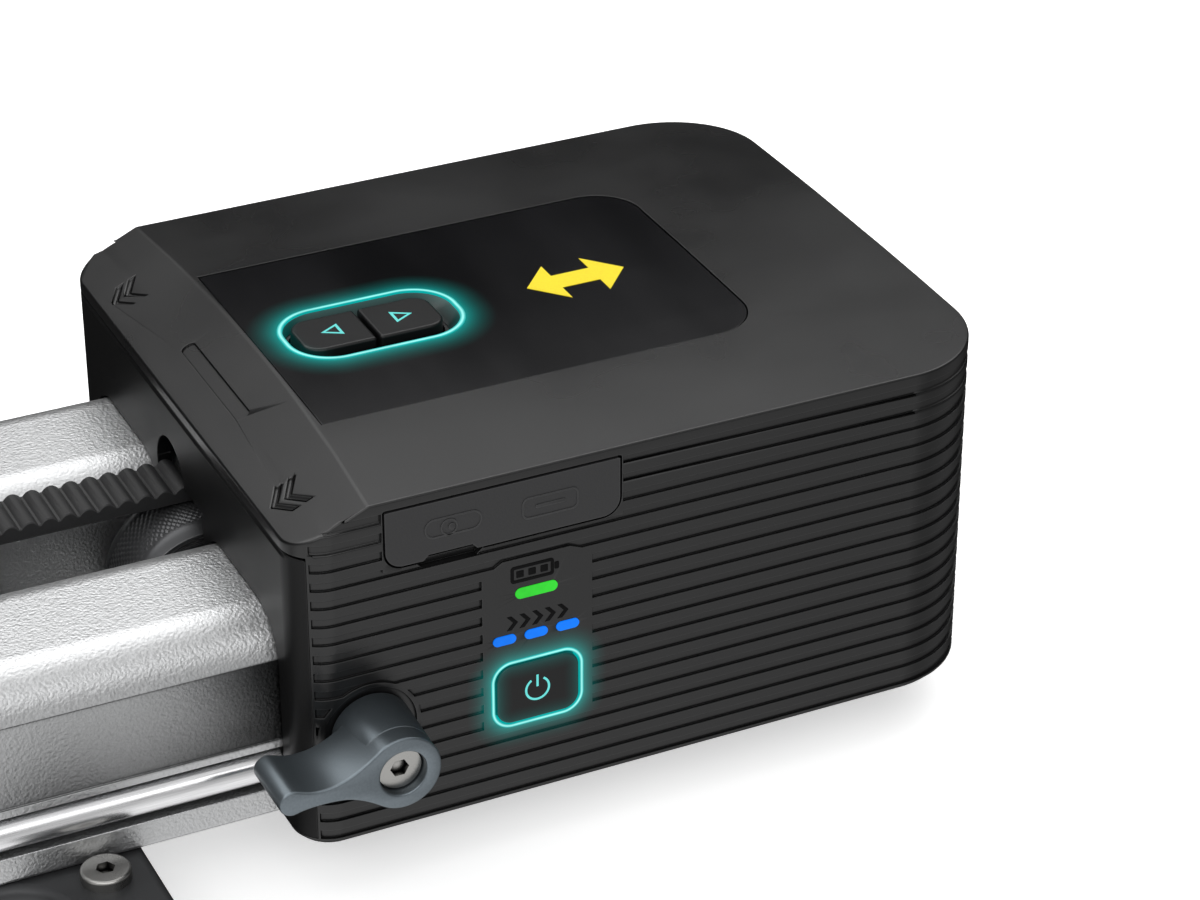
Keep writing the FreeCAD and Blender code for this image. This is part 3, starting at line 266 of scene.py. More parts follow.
def panel_finish():
    """Gloss black panel with faint hairlines and the light of the ring round the travel keys."""
    f = Finish("panel_gloss", 0.16)
    smear = f.noise(24.0, 4.0, (1, 0.35, 1))
    f.set("Base Color", f.mix(f.span(smear, 0.3, 0.7), (0.0025, 0.0025, 0.003), (0.005, 0.005, 0.006)))
    f.set("Roughness", f.span(smear, 0.3, 0.7, 0.15, 0.21))
    f.set("Normal", f.bump(f.noise(0.5, 1.0), 0.0006))
    lit_by_ring(f, 0.42, pill=True, reach_mm=1.6)
    return f


def key_finish():
    """Satin keys, with the light of the rings beside them on their edges."""
    f = moulded("key_satin", (0.004, 0.0042, 0.0045), 0.33, 0.18, 0.006, 0.04)
    f.set("Specular IOR Level", 0.3)
    lit_by_ring(f, 0.22, power=True, pill=True, reach_mm=1.1)
    return f


def ring_line(name, box_mm, radius_mm, line_mm, upright):
    """Light guide that is brightest along its middle; box_mm is its outer outline."""
    f = Finish(name, 0.3)
    half = line_mm / 2
    x0, x1, y0, y1 = in_frame(box_mm, z=upright)
    middle = (x0 + half, x1 - half, y0 + half, y1 - half)
    up = f.axis("Z" if upright else "Y")
    core = outline_glow(f, f.axis("X"), up, middle, radius_mm - half, line_mm * 0.55)
    f.set("Base Color", (0.0, 0.05, 0.05))
    f.set("Emission Color", f.mix(f.span(core, 0.45, 0.85), (0.0, 0.42, 0.40), (0.36, 1.0, 0.93)))
    cloud = f.span(f.noise(5.0, 2.0), 0.3, 0.7, 0.85, 1.05)
    f.set("Emission Strength", cloud)
    return f


def aluminium(name="aluminium_blasted", colour=(0.57, 0.575, 0.58), roughness=0.42):
    """Sand-blasted, anodised aluminium: bright, with a fine sparkling grain, and painted shade in the side
    recess where an occlusion mask finds parts near.
    """
    f = Finish(name, roughness, 1.0)
    pits = f.cells(0.55)
    fine = f.noise(0.42, 2.0)
    height = f.sum("ADD", f.sum("MULTIPLY", pits, 0.5), fine)
    cloud = f.noise(40.0, 3.0)
    tone = f.mix(f.span(fine, 0.3, 0.75), scaled(colour, 0.90), scaled(colour, 1.06))
    tone = f.mix(f.span(cloud, 0.3, 0.7, 0.0, 0.35), tone, scaled(colour, 0.93))
    rail_low, rail_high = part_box("back_rail")
    up = f.axis("Z")
    band = f.sum("MULTIPLY", f.span(up, rail_low.z + 12.4 * MM, rail_low.z + 12.8 * MM),
                 f.span(up, rail_low.z + 26.5 * MM, rail_low.z + 26.1 * MM))
    side = f.span(f.sum("ABSOLUTE", f.axis("Y")), rail_high.y - 0.7 * MM, rail_high.y - 0.5 * MM)
    # Painted shade: through a wide occlusion mask, the side recess darkens towards the drive module.
    shade_ao = f.new("ShaderNodeAmbientOcclusion", samples=12)
    shade_ao.inputs["Distance"].default_value = 32 * MM
    painted_shade = f.span(shade_ao.outputs["AO"], 0.74, 0.99, 0.97, 0.05)
    tone = f.mix(f.sum("MULTIPLY", f.sum("MULTIPLY", band, side), painted_shade), tone, scaled(colour, 0.04))
    f.set("Base Color", tone)
    f.set("Roughness", f.span(fine, 0.3, 0.7, roughness - 0.06, roughness + 0.08))
    f.set("Normal", f.bump(height, 0.075))
    return f


def steel(name, colour, roughness, stretch=(0.02, 1, 1), scratch_mm=0.12, cut_shade_mm=0.0):
    """Ground or turned steel, with fine lines along one direction, and painted shade in sockets when a cut
    reach is given.
    """
    f = Finish(name, roughness, 1.0)
    lines = f.noise(scratch_mm, 3.0, stretch)
    cloud = f.noise(12.0, 2.0)
    f.set("Base Color", f.mix(f.span(lines, 0.3, 0.7), scaled(colour, 0.86), scaled(colour, 1.06)))
    f.set("Roughness", f.span(f.sum("ADD", f.sum("MULTIPLY", lines, 0.5), cloud), 0.5, 1.0,
                              roughness - 0.04, roughness + 0.08))
    f.set("Normal", f.bump(lines, 0.002))
    # Painted shade: an occlusion mask darkens the sockets.
    if cut_shade_mm:
        tone = f.shader.inputs["Base Color"].links[0].from_socket
        f.set("Base Color", f.mix(f.cut_shade(cut_shade_mm), tone, scaled(colour, 0.03)))
    return f


def anodised(name, colour, roughness=0.38, metallic=0.75, edge=0.16):
    """Coloured anodised metal: satin, with bright edges that are partly rubbed wear and partly painted
    highlight.
    """
    f = moulded(name, colour, roughness, 0.16, 0.006, edge, 0.3)
    f.set("Metallic", metallic)
    return f


def lever_finish():
    """Blue-grey anodising: the milled front face painted lighter than the turned sides behind it, painted
    light on the face and painted shade on the sides.
    """
    f = anodised("lever_blue_grey", (0.095, 0.112, 0.124), 0.34, 0.75, 0.12)
    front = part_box("clamp_lever")[0].y
    # Painted light: the front face is lightened, and the sides behind it stay darker as painted shade.
    face = f.span(f.axis("Y"), front + 0.5 * MM, front + 0.2 * MM)
    side = f.shader.inputs["Base Color"].links[0].from_socket
    f.set("Base Color", f.mix(face, side, f.mix(f.noise(0.4, 2.0), (0.13, 0.155, 0.175), (0.19, 0.22, 0.24))))
    return f


def light(name, colour, low, high, dim=0.75):
    """A lit light guide whose glow is a little brighter towards its +X end, a painted highlight."""
    f = Finish(name, 0.35)
    f.set("Base Color", scaled(colour, 0.08))
    f.set("Specular IOR Level", 0.2)
    f.set("Emission Color", colour)
    # Painted highlight: the glow rises towards the +X end.
    painted_highlight = f.span(f.axis("X"), low, high, dim, 1.0)
    cloud = f.span(f.noise(1.2, 2.0), 0.3, 0.7, 0.94, 1.06)
    f.set("Emission Strength", f.sum("MULTIPLY", painted_highlight, cloud))
    return f


def rubber(name, colour, roughness=0.62):
    """Matt rubber with a dusty, slightly uneven surface."""
    return moulded(name, colour, roughness, 0.35, 0.02, 0.05, 0.3)


def board(name, colour):
    """Solder mask over faint copper tracks."""
    f = Finish(name, 0.32)
    tracks = f.span(f.cells(2.2), 0.25, 0.32)
    f.set("Base Color", f.mix(tracks, scaled(colour, 1.5), colour))
    f.set("Normal", f.bump(tracks, 0.02))
    return f


def vial():
    """Green level fluid behind a clear cap, with one bubble and its ring."""
    f = Finish("level_fluid", 0.06)
    x0, x1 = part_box("level_vial")
    centre = (x0 + x1) / 2
    dx = f.sum("SUBTRACT", f.axis("X"), centre.x)
    dy = f.sum("SUBTRACT", f.axis("Y"), centre.y)
    r = f.sum("SQRT", f.sum("ADD", f.sum("MULTIPLY", dx, dx), f.sum("MULTIPLY", dy, dy)))
    ring = f.sum("COMPARE", r, 2.3 * MM)
    ring.node.inputs[2].default_value = 0.12 * MM
    bubble = f.span(r, 1.55 * MM, 1.75 * MM, 1.0, 0.0)
    cloud = f.mix(f.span(f.noise(3.0, 2.0), 0.3, 0.7), (0.42, 0.72, 0.04), (0.52, 0.82, 0.07))
    tone = f.mix(bubble, cloud, (0.78, 0.95, 0.35))
    f.set("Base Color", f.mix(ring, tone, (0.01, 0.01, 0.01)))
    f.set("Coat Weight", 1.0)
    f.set("Coat Roughness", 0.03)
    return f


def wrap():
    """Printed shrink sleeve round the battery cells."""
    f = Finish("cell_sleeve", 0.28)
    f.set("Base Color", f.mix(f.span(f.noise(9.0, 3.0), 0.3, 0.7), (0.012, 0.13, 0.34), (0.02, 0.20, 0.46)))
    f.set("Normal", f.bump(f.noise(1.8, 2.0, (1, 0.1, 1)), 0.03))
    return f


FINISHES = {
    "shell_plastic": shell_finish(),
    "rail_aluminium": aluminium(),
    "polished_steel": steel("steel_ground", (0.78, 0.78, 0.79), 0.25),
    "screw_steel": steel("steel_zinc", (0.40, 0.395, 0.38), 0.25, (1, 1, 1), 0.08, cut_shade_mm=1.1),
    "bearing_steel": steel("steel_bearing", (0.62, 0.62, 0.64), 0.2, (1, 0.05, 1)),
    "gloss_black": panel_finish(),
    "key_plastic": key_finish(),
    "ring_light": light("ring_glow", (0.16, 0.80, 0.76), FACE_X, FACE_X + 0.05),
    "green_light": light("green_glow", (0.035, 0.70, 0.035), *[at(x, 0, 0).x for x in GREEN_X], dim=0.85),
    "blue_light": light("blue_glow", (0.0, 0.20, 1.0), *[at(x, 0, 0).x for x in BLUE_X], dim=0.85),
    "yellow_print": moulded("print_yellow", (0.82, 0.63, 0.0), 0.5, 0.2, 0.004, 0.0),
    "lever_metal": lever_finish(),
    "belt_rubber": rubber("belt_neoprene", (0.009, 0.009, 0.0095)),
    "soft_rubber": rubber("rubber_matt", (0.020, 0.020, 0.021), 0.5),
    "black_anodised": anodised("anodised_black", (0.014, 0.014, 0.015), 0.38, 0.3, 0.08),
    "grey_anodised": anodised("anodised_grey", (0.042, 0.043, 0.045), 0.42, 0.5),
    "wheel_metal": anodised("wheel_dark", (0.055, 0.056, 0.058), 0.34, 0.7, 0.30),
    "roller_polymer": moulded("acetal_white", (0.62, 0.61, 0.58), 0.34, 0.5, 0.01, 0.05),
    "motor_metal": steel("steel_plated", (0.50, 0.50, 0.51), 0.32, (1, 0.05, 1)),
    "board_green": board("solder_mask", (0.012, 0.11, 0.045)),
    "socket_metal": steel("socket_plated", (0.55, 0.55, 0.56), 0.22, (1, 1, 1)),
    "battery_wrap": wrap(),
    "holder_plastic": moulded("holder_black", (0.03, 0.03, 0.03), 0.5),
    "vial_glass": vial(),
}


def dress(piece, slot, finish=None):
    piece.data.materials.clear()
    piece.data.materials.append((finish or FINISHES[slot]).material)


def plate_finish():
    """The rail entry plate: the shell's plastic painted darker and duller, as painted shade where it sits
    back under the shell's edge.
    """
    f = moulded("entry_plate_matt", (0.0035, 0.0035, 0.0037), 0.42, edge=0.03)
    f.set("Specular IOR Level", 0.22)
    return f


def ink_finish():
    """Matt black ink of the marks over the lights."""
    f = moulded("ink_black", (0.0015, 0.0015, 0.0016), 0.6, 0.15, 0.002, 0.0)
    f.set("Specular IOR Level", 0.12)
    return f


# ---- pieces -------------------------------------------------------------------------------------

def own(name, mesh, slot, body, replaced=()):
    """Link a finished mesh as a piece of the object, riding on a CAD body."""
    piece = bpy.data.objects.new(name, mesh)
    bpy.context.scene.collection.objects.link(piece)
    dress(piece, slot)
    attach(piece, body)
    if replaced:
        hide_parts(*replaced)
    return piece


def shade(mesh, corner=35.0):
    mesh.shade_smooth()
    mesh.set_sharp_from_angle(angle=math.radians(corner))


def is_outer_rim(edge):
    """Edges of the module's outline: top against walls or rail entry, and the crease of the slope."""
    corner_zone = 15.4 * MM       # radius of the far corners
    first, second = edge.link_faces[0].normal, edge.link_faces[1].normal
    middle = (edge.verts[0].co + edge.verts[1].co) / 2
    if first.z > 0.85 and second.z > 0.85:
        return edge.calc_length() > 5 * MM
    if max(first.z, second.z) < 0.85 or min(first.z, second.z) < -0.2 or middle.z < CROWN_Z - 7.5 * MM:
        return False
    dx = min(middle.x - SHELL_LOW.x, SHELL_HIGH.x - middle.x)
    dy = min(middle.y - SHELL_LOW.y, SHELL_HIGH.y - middle.y)
    return min(dx, dy) < 0.3 * MM or (dx < corner_zone and dy < corner_zone)


def refine(node, width_mm, corner=14.0, segments=2, rim_mm=0.0):
    """A copy of a CAD node with its flat faces merged and its edges rounded, which stands for the node."""
    source = frame["nodes"][node]
    bm = bmesh.new()
    bm.from_mesh(source.data)
    bmesh.ops.remove_doubles(bm, verts=bm.verts, dist=2e-6)
    bmesh.ops.dissolve_limit(bm, angle_limit=math.radians(0.5), verts=bm.verts, edges=bm.edges)
    bmesh.ops.connect_verts_concave(bm, faces=bm.faces)
    for width, chosen in ((rim_mm, is_outer_rim), (width_mm, lambda e: True)):
        bm.normal_update()
        sharp = [e for e in bm.edges if len(e.link_faces) == 2 and e.calc_face_angle(0) > math.radians(corner)
                 and chosen(e)] if width else []
        bmesh.ops.bevel(bm, geom=sharp, offset=width * MM, offset_type="OFFSET", segments=segments,
                        profile=0.5, affect="EDGES", clamp_overlap=False)
        corner = max(corner, 30.0) if width and rim_mm else corner
    mesh = bpy.data.meshes.new(node + "_edged")
    bm.to_mesh(mesh)
    bm.free()
    shade(mesh, 38.0)
    piece = own(node + "_edged", mesh, SLOT_OF[node], source["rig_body"], [node])
    weights = piece.modifiers.new("flat_faces", "WEIGHTED_NORMAL")
    weights.keep_sharp = True
    weights.weight = 100
    return piece


def on_circle(cx, cy, r, degrees):
    return cx + r * math.cos(math.radians(degrees)), cy + r * math.sin(math.radians(degrees))


def rounded(x0, x1, y0, y1, r, steps=8):
    """Points of a rounded rectangle."""
    corners = ((x1 - r, y1 - r, 0), (x0 + r, y1 - r, 90), (x0 + r, y0 + r, 180), (x1 - r, y0 + r, 270))
    return [on_circle(cx, cy, r, a + 90 * k / steps) for cx, cy, a in corners for k in range(steps + 1)]


def arc(cx, cy, r, start, end, steps):
    """Points on an arc, in degrees, both ends included."""
    return [on_circle(cx, cy, r, start + (end - start) * k / steps) for k in range(steps + 1)]


def slab(outlines, thick, bevel=0.0):
    """Flat outlines in millimetres, holes included, raised from z = 0 to thick, with rounded edges."""
    curve = bpy.data.curves.new("outline", "CURVE")
    curve.dimensions = "2D"
    curve.fill_mode = "BOTH"
    curve.extrude = thick / 2 - bevel
    curve.bevel_depth = bevel
    curve.bevel_resolution = 2
    curve.offset = -bevel
    for points in outlines:
        spline = curve.splines.new("POLY")
        spline.points.add(len(points) - 1)
        for point, (x, y) in zip(spline.points, points):
            point.co = (x, y, 0, 1)
        spline.use_cyclic_u = True
    holder = bpy.data.objects.new("outline", curve)
    bpy.context.scene.collection.objects.link(holder)
    mesh = bpy.data.meshes.new_from_object(holder)
    bpy.data.objects.remove(holder)
    mesh.transform(Matrix.Translation((0, 0, thick / 2)))
    bm = bmesh.new()
    bm.from_mesh(mesh)
    bmesh.ops.remove_doubles(bm, verts=bm.verts, dist=1e-5)
    bmesh.ops.recalc_face_normals(bm, faces=bm.faces)
    bm.to_mesh(mesh)
    bm.free()
    return mesh


def stand_up(mesh, y_front):
    """Turn a slab drawn in x, z of the module to face -Y, its back on the plane y_front (millimetres)."""
    turn = Matrix(((MM, 0, 0, FACE_X), (0, 0, -MM, y_front * MM), (0, MM, 0, MODULE_Z), (0, 0, 0, 1)))
    mesh.transform(turn)
    shade(mesh)
    return mesh


def lie_flat(mesh, z_back):
    """Scale a slab drawn in x, y of the module, its back z_back millimetres over the underside."""
    mesh.transform(Matrix.Translation(at(0, 0, z_back)) @ Matrix.Scale(MM, 4))
    shade(mesh)
    return mesh


def joined(meshes):
    bm = bmesh.new()
    for mesh in meshes:
        bm.from_mesh(mesh)
        bpy.data.meshes.remove(mesh)
    result = bpy.data.meshes.new("joined")
    bm.to_mesh(result)
    bm.free()
    shade(result)
    return result


def solid_from_rings(rings, name):
    """Closed mesh through rings of points, joined round each ring and from the last ring to the first."""
    count, size = len(rings), len(rings[0])
    vertices = [p for ring in rings for p in ring]
    faces = [(i * size + j, i * size + (j + 1) % size, (i + 1) % count * size + (j + 1) % size,
              (i + 1) % count * size + j) for i in range(count) for j in range(size)]
    mesh = bpy.data.meshes.new(name)
    mesh.from_pydata(vertices, [], faces)
    bm = bmesh.new()
    bm.from_mesh(mesh)
    bmesh.ops.recalc_face_normals(bm, faces=bm.faces)
    bm.to_mesh(mesh)
    bm.free()
    return mesh


# ---- toothed belt -------------------------------------------------------------------------------

TOOTH_PITCH = 3.0
BELT_BASE = 1.95             # thickness of the belt's band under its teeth
# The belt's back runs on WHEEL_R and its tooth tips touch DRIVE_R. The rest are its full thickness and the
# axles' places, all in millimetres of the module.
WHEEL_R, DRIVE_R, BELT_THICK = 12.5, 7.3, 2.8
WHEEL_Z, DRIVE_X, DRIVE_Z, RETURN_X, HAND_X = 20.5, 34.0, 28.0, 66.0, 0.8


def belt_line():
    """The belt's back as (x, z, direction) samples along its loop, in millimetres of the module."""
    tail_low, tail_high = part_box("tail_pulley")
    tail = ((tail_low.x + tail_high.x) / 2 - FACE_X) / MM
    bend = DRIVE_R + BELT_THICK
    wheels = [(tail, WHEEL_Z, WHEEL_R, 1), (HAND_X, WHEEL_Z, WHEEL_R, 1), (DRIVE_X, DRIVE_Z, bend, -1),
              (RETURN_X, WHEEL_Z, WHEEL_R, 1)]
    angles = []
    for (x, z, r, s), (x2, z2, r2, s2) in zip(wheels, wheels[1:] + wheels[:1]):
        k = (s2 * r2 - s * r) / math.hypot(x2 - x, z2 - z)
        angles.append(math.atan2(z2 - z, x2 - x) + math.asin(k))
    stretches = []
    for i, (x, z, r, s) in enumerate(wheels):
        arrive, leave = angles[i - 1], angles[i]
        turn = (leave - arrive) % (2 * math.pi) - (2 * math.pi if s > 0 else 0)
        stretches.append(("arc", x, z, r * s, arrive, turn))
        x2, z2, r2, s2 = wheels[(i + 1) % 4]
        a = (x - s * r * math.sin(leave), z + s * r * math.cos(leave))
        b = (x2 - s2 * r2 * math.sin(leave), z2 + s2 * r2 * math.cos(leave))
        stretches.append(("line", a, b, leave))
    return stretches


def belt_point(stretches, s):
    for part in stretches:
        length = abs(part[3] * part[5]) if part[0] == "arc" else math.dist(part[1], part[2])
        if s <= length:
            break
        s -= length
    if part[0] == "arc":
        _, x, z, r, arrive, turn = part
        angle = arrive + turn * min(1.0, s / length)
        return x - r * math.sin(angle), z + r * math.cos(angle), angle
    _, a, b, angle = part
    t = min(1.0, s / length)
    return a[0] + (b[0] - a[0]) * t, a[1] + (b[1] - a[1]) * t, angle


def toothed_belt():
    stretches = belt_line()
    total = sum(abs(p[3] * p[5]) if p[0] == "arc" else math.dist(p[1], p[2]) for p in stretches)
    teeth = round(total / TOOTH_PITCH)
    low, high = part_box("toothed_belt")
    y0, y1 = low.y / MM, high.y / MM
    profile = [(0.0, 0.0)] + [(0.06 + 0.88 * k / 12, math.sin(math.pi * k / 12) ** 0.8) for k in range(13)]
    soft = 0.18
    rings = []
    for k in range(teeth):
        for share, rise in profile:
            x, z, angle = belt_point(stretches, (k + share) * total / teeth)
            out = (-math.sin(angle), math.cos(angle))
            height = BELT_BASE + (BELT_THICK - 0.05 - BELT_BASE) * rise
            section = ((y0 + soft, 0.0), (y1 - soft, 0.0), (y1, soft), (y1, height - soft),
                       (y1 - soft, height), (y0 + soft, height), (y0, height - soft), (y0, soft))
            rings.append([at(x + out[0] * h, y, z + out[1] * h) for y, h in section])
    mesh = solid_from_rings(rings, "belt_with_teeth")
    shade(mesh, 40)
    return own("belt_with_teeth", mesh, "belt_rubber", "root", ["toothed_belt"])


# ---- knurled hand wheel -------------------------------------------------------------------------

KNURL_TURNS = 78             # knurl ridges round the wheel
KNURL_DEPTH = 0.24


def lathe(profile, centre, name, segments, surface=None):
    """Turn a closed profile of (radius, y) about a line along Y through centre, in module millimetres."""
    rings = []
    for k in range(segments):
        a = 2 * math.pi * k / segments
        ring = []
        for r, y in profile:
            r2 = r - surface(a, y) if surface and r >= RIM_R - 1e-6 else r
            ring.append(at(centre[0] + r2 * math.cos(a), y, centre[1] + r2 * math.sin(a)))
        rings.append(ring)
    mesh = solid_from_rings(rings, name)
    shade(mesh, 40)
    return mesh


wheel_low, wheel_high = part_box("hand_wheel")
RIM_R = (wheel_high.x - wheel_low.x) / MM / 2 - 0.01
HAND_Y0, HAND_Y1 = wheel_low.y / MM, wheel_high.y / MM


def knurl(angle, y):
    """Depth of the diamond knurl below the rim at one place; smooth bands stay at each side."""
    band0, band1 = HAND_Y0 + 2.6, HAND_Y1 - 2.0
    fade = max(0.0, min(1.0, (y - band0) / 0.25, (band1 - y) / 0.25))
    if fade <= 0:
        return 0.0
    slant = 2.2 * y
    one = abs(math.sin(KNURL_TURNS * angle / 2 + slant))
    two = abs(math.sin(KNURL_TURNS * angle / 2 - slant))
    return KNURL_DEPTH * fade * (1 - 0.5 * (one + two))


def hand_wheel():
    rows = 44
    y0, y1 = HAND_Y0 + 2.0, HAND_Y1 - 1.4
    rim = [(RIM_R, y0 + (y1 - y0) * k / rows) for k in range(rows + 1)]
    face = [(8.05, HAND_Y0 + 1.2), (8.9, HAND_Y0 + 1.15), (9.0, HAND_Y0 + 0.85), (9.35, HAND_Y0 + 0.85),
            (9.45, HAND_Y0 + 1.1), (9.8, HAND_Y0 + 1.1), (9.9, HAND_Y0 + 0.7), (10.2, HAND_Y0 + 0.7),
            (10.3, HAND_Y0 + 0.35), (10.6, HAND_Y0 + 0.05), (11.2, HAND_Y0 + 0.02), (11.9, HAND_Y0 + 0.9),
            (RIM_R - 0.05, HAND_Y0 + 1.6)]
    back = [(RIM_R - 0.05, HAND_Y1 - 1.1), (11.9, HAND_Y1 - 0.35), (11.5, HAND_Y1 - 0.02),
            (8.05, HAND_Y1 - 0.02)]
    mesh = lathe(face + rim + back, (HAND_X, WHEEL_Z), "knurled_wheel", 624, knurl)
    return own("knurled_wheel", mesh, "wheel_metal", "hand_wheel_unit", ["hand_wheel"])


# ---- clamp lever --------------------------------------------------------------------------------

lever_low, lever_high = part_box("clamp_lever")
LEVER_Y0, LEVER_Y1 = lever_low.y / MM, lever_high.y / MM
LEVER_X, LEVER_Z = 10.5, 18.4
RING_R, BASE_R, RECESS_R, BEAD_R = 5.8, 6.2, 3.55, 1.95
BEAD_X, BEAD_Z = LEVER_X - 16.7, LEVER_Z - 0.2


def curve_points(a, handle_a, handle_b, b, steps=10):
    """Points of a cubic curve from a to b, the first left out."""
    points = []
    for k in range(1, steps + 1):
        t = k / steps
        points.append(tuple((1 - t) ** 3 * a[i] + 3 * (1 - t) ** 2 * t * handle_a[i]
                            + 3 * (1 - t) * t * t * handle_b[i] + t ** 3 * b[i] for i in (0, 1)))
    return points


def lever_outline():
    """Front outline of the lever: ring, waisted arm and round bead."""
    ring_top, ring_low = 128.0, 233.0
    start = on_circle(LEVER_X, LEVER_Z, RING_R, ring_low - 360)
    end = on_circle(LEVER_X, LEVER_Z, RING_R, ring_top)
    bead_top = on_circle(BEAD_X, BEAD_Z, BEAD_R, 70)
    bead_low = on_circle(BEAD_X, BEAD_Z, BEAD_R, 285)
    outline = arc(LEVER_X, LEVER_Z, RING_R, ring_low - 360, ring_top, 40)
    outline += curve_points(end, (end[0] - 3.0, end[1] - 2.4), (LEVER_X - 9.0, LEVER_Z + 0.75),
                            (LEVER_X - 12.3, LEVER_Z + 0.75), 14)
    outline += curve_points(outline[-1], (LEVER_X - 14.0, LEVER_Z + 0.75),
                            (bead_top[0] + 0.9, bead_top[1] - 0.3), bead_top, 8)
    outline += arc(BEAD_X, BEAD_Z, BEAD_R, 70, 285, 20)[1:]
    outline += curve_points(bead_low, (bead_low[0] + 1.5, bead_low[1] + 0.5), (LEVER_X - 11.0, LEVER_Z - 1.5),
                            (LEVER_X - 8.6, LEVER_Z - 2.0), 10)
    outline += curve_points(outline[-1], (LEVER_X - 6.8, LEVER_Z - 2.4), (start[0] - 1.2, start[1] + 0.9),
                            start, 10)[:-1]
    return outline


def clamp_lever():
    depth = LEVER_Y1 - LEVER_Y0
    hole = arc(LEVER_X, LEVER_Z, RECESS_R, 0, 360 - 7.5, 47)
    arm = slab([lever_outline(), hole], 10.4, 0.32)
    stand_up(arm, LEVER_Y0 + 10.4)
    boss_outer = arc(LEVER_X, LEVER_Z, BASE_R, 0, 360 - 5, 71)
    boss = slab([boss_outer, arc(LEVER_X, LEVER_Z, 2.05, 0, 360 - 10, 35)], depth - 3.05, 0.25)
    stand_up(boss, LEVER_Y1)
    for v in boss.vertices:       # the boss tapers from its base to the ring
        share = (LEVER_Y1 * MM - v.co.y) / (depth * MM)
        centre = at(LEVER_X, 0, LEVER_Z)
        factor = 1 - (1 - (RING_R - 0.05) / BASE_R) * share
        v.co.x = centre.x + (v.co.x - centre.x) * factor
        v.co.z = centre.z + (v.co.z - centre.z) * factor
    return own("lever_arm", joined([arm, boss]), "lever_metal", "lever", ["clamp_lever"])


# ---- marks --------------------------------------------------------------------------------------

def line_round(x0, x1, y0, y1, line, r_outer, r_inner):
    """Outer and inner outline of a rounded rectangle drawn with a line of one width."""
    return [rounded(x0, x1, y0, y1, r_outer), rounded(x0 + line, x1 - line, y0 + line, y1 - line, r_inner)]


def flap_icons():
    """Raised outlines on the port flap: a round plug in its socket, and a flat connector."""
    line, raised, soft = 0.32, 0.14, 0.05
    flat = slab(line_round(34.5, 43.4, 47.0, 50.6, line, 1.1, 0.8), raised, soft)
    bar = slab([rounded(36.6, 41.3, 48.55, 49.15, 0.29)], raised, soft)
    body = slab(line_round(19.5, 28.4, 47.6, 50.8, line, 1.55, 1.25), raised, soft)
    eye = slab([arc(23.3, 49.0, r, 0, 352.5, 47) for r in (1.35, 1.05)], raised, soft)
    dot = slab([arc(23.7, 49.0, 0.55, 0, 345, 23)], 0.16, 0.06)
    mesh = joined([stand_up(m, FRONT_Y / MM + 0.02) for m in (flat, bar, body, eye, dot)])
    return own("flap_icons", mesh, "soft_rubber", "flap")


def front_pictograms():
    """Marks over the lights: a battery over the green one and a row of speed arrows over the blue ones."""
    deep = 0.08
    battery = slab([rounded(32.6, 39.4, 36.9, 39.7, 0.5), rounded(33.1, 38.9, 37.4, 39.2, 0.15)], deep, 0.02)
    tip = slab([rounded(39.5, 40.2, 37.7, 38.9, 0.2)], deep, 0.02)
    charge = [slab([rounded(x, x + 1.15, 37.75, 38.85, 0.1)], deep, 0.02) for x in (33.5, 35.4, 37.3)]
    arrows = []
    for x in (31.9, 33.9, 35.9, 37.9, 39.9):
        arrows.append(slab([[(x, 29.2), (x + 0.75, 29.2), (x + 1.75, 30.35), (x + 0.75, 31.5), (x, 31.5),
                             (x + 1.0, 30.35)]], deep, 0.02))
    mesh = joined([stand_up(m, FRONT_Y / MM + 0.01) for m in [battery, tip, *charge, *arrows]])
    dress(own("front_pictograms", mesh, "gloss_black", "root"), "gloss_black", ink_finish())


def triangle(cx, cy, reach, half, side):
    return [(cx + side * reach, cy), (cx - side * reach, cy + half), (cx - side * reach, cy - half)]


def key_arrows():
    """Outlined triangles on the two travel keys, lit like the ring round them."""
    for node, body, cx, side in (("travel_button_left", "left_key", 25.2, -1),
                                 ("travel_button_right", "right_key", 36.8, 1)):
        top = (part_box(node)[1].z - MODULE_Z) / MM
        outer, inner = triangle(cx, 0.15, 1.55, 1.75, side), triangle(cx - side * 0.12, 0.15, 1.0, 1.1, side)
        mesh = lie_flat(slab([outer, inner], 0.06, 0.02), top - 0.01)
        own(node + "_arrow", mesh, "ring_light", body)


def power_icon():
    """Ring with a gap and a bar, lit, on the power button."""
    cx, cz, r, line = 36.5, 18.3, 2.0, 0.34
    broken = arc(cx, cz, r, 122, 418, 40) + arc(cx, cz, r - line, 418, 122, 40)
    left, right, low, high = cx - line / 2, cx + line / 2, cz + 0.35, cz + 2.35
    bar = [(left, low), (right, low), (right, high), (left, high)]
    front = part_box("power_button")[0].y / MM
    mesh = joined([stand_up(slab([o], 0.06, 0.02), front + 0.01) for o in (broken, bar)])
    own("power_icon", mesh, "ring_light", "power_key")


# ---- pocket round the travel keys ---------------------------------------------------------------

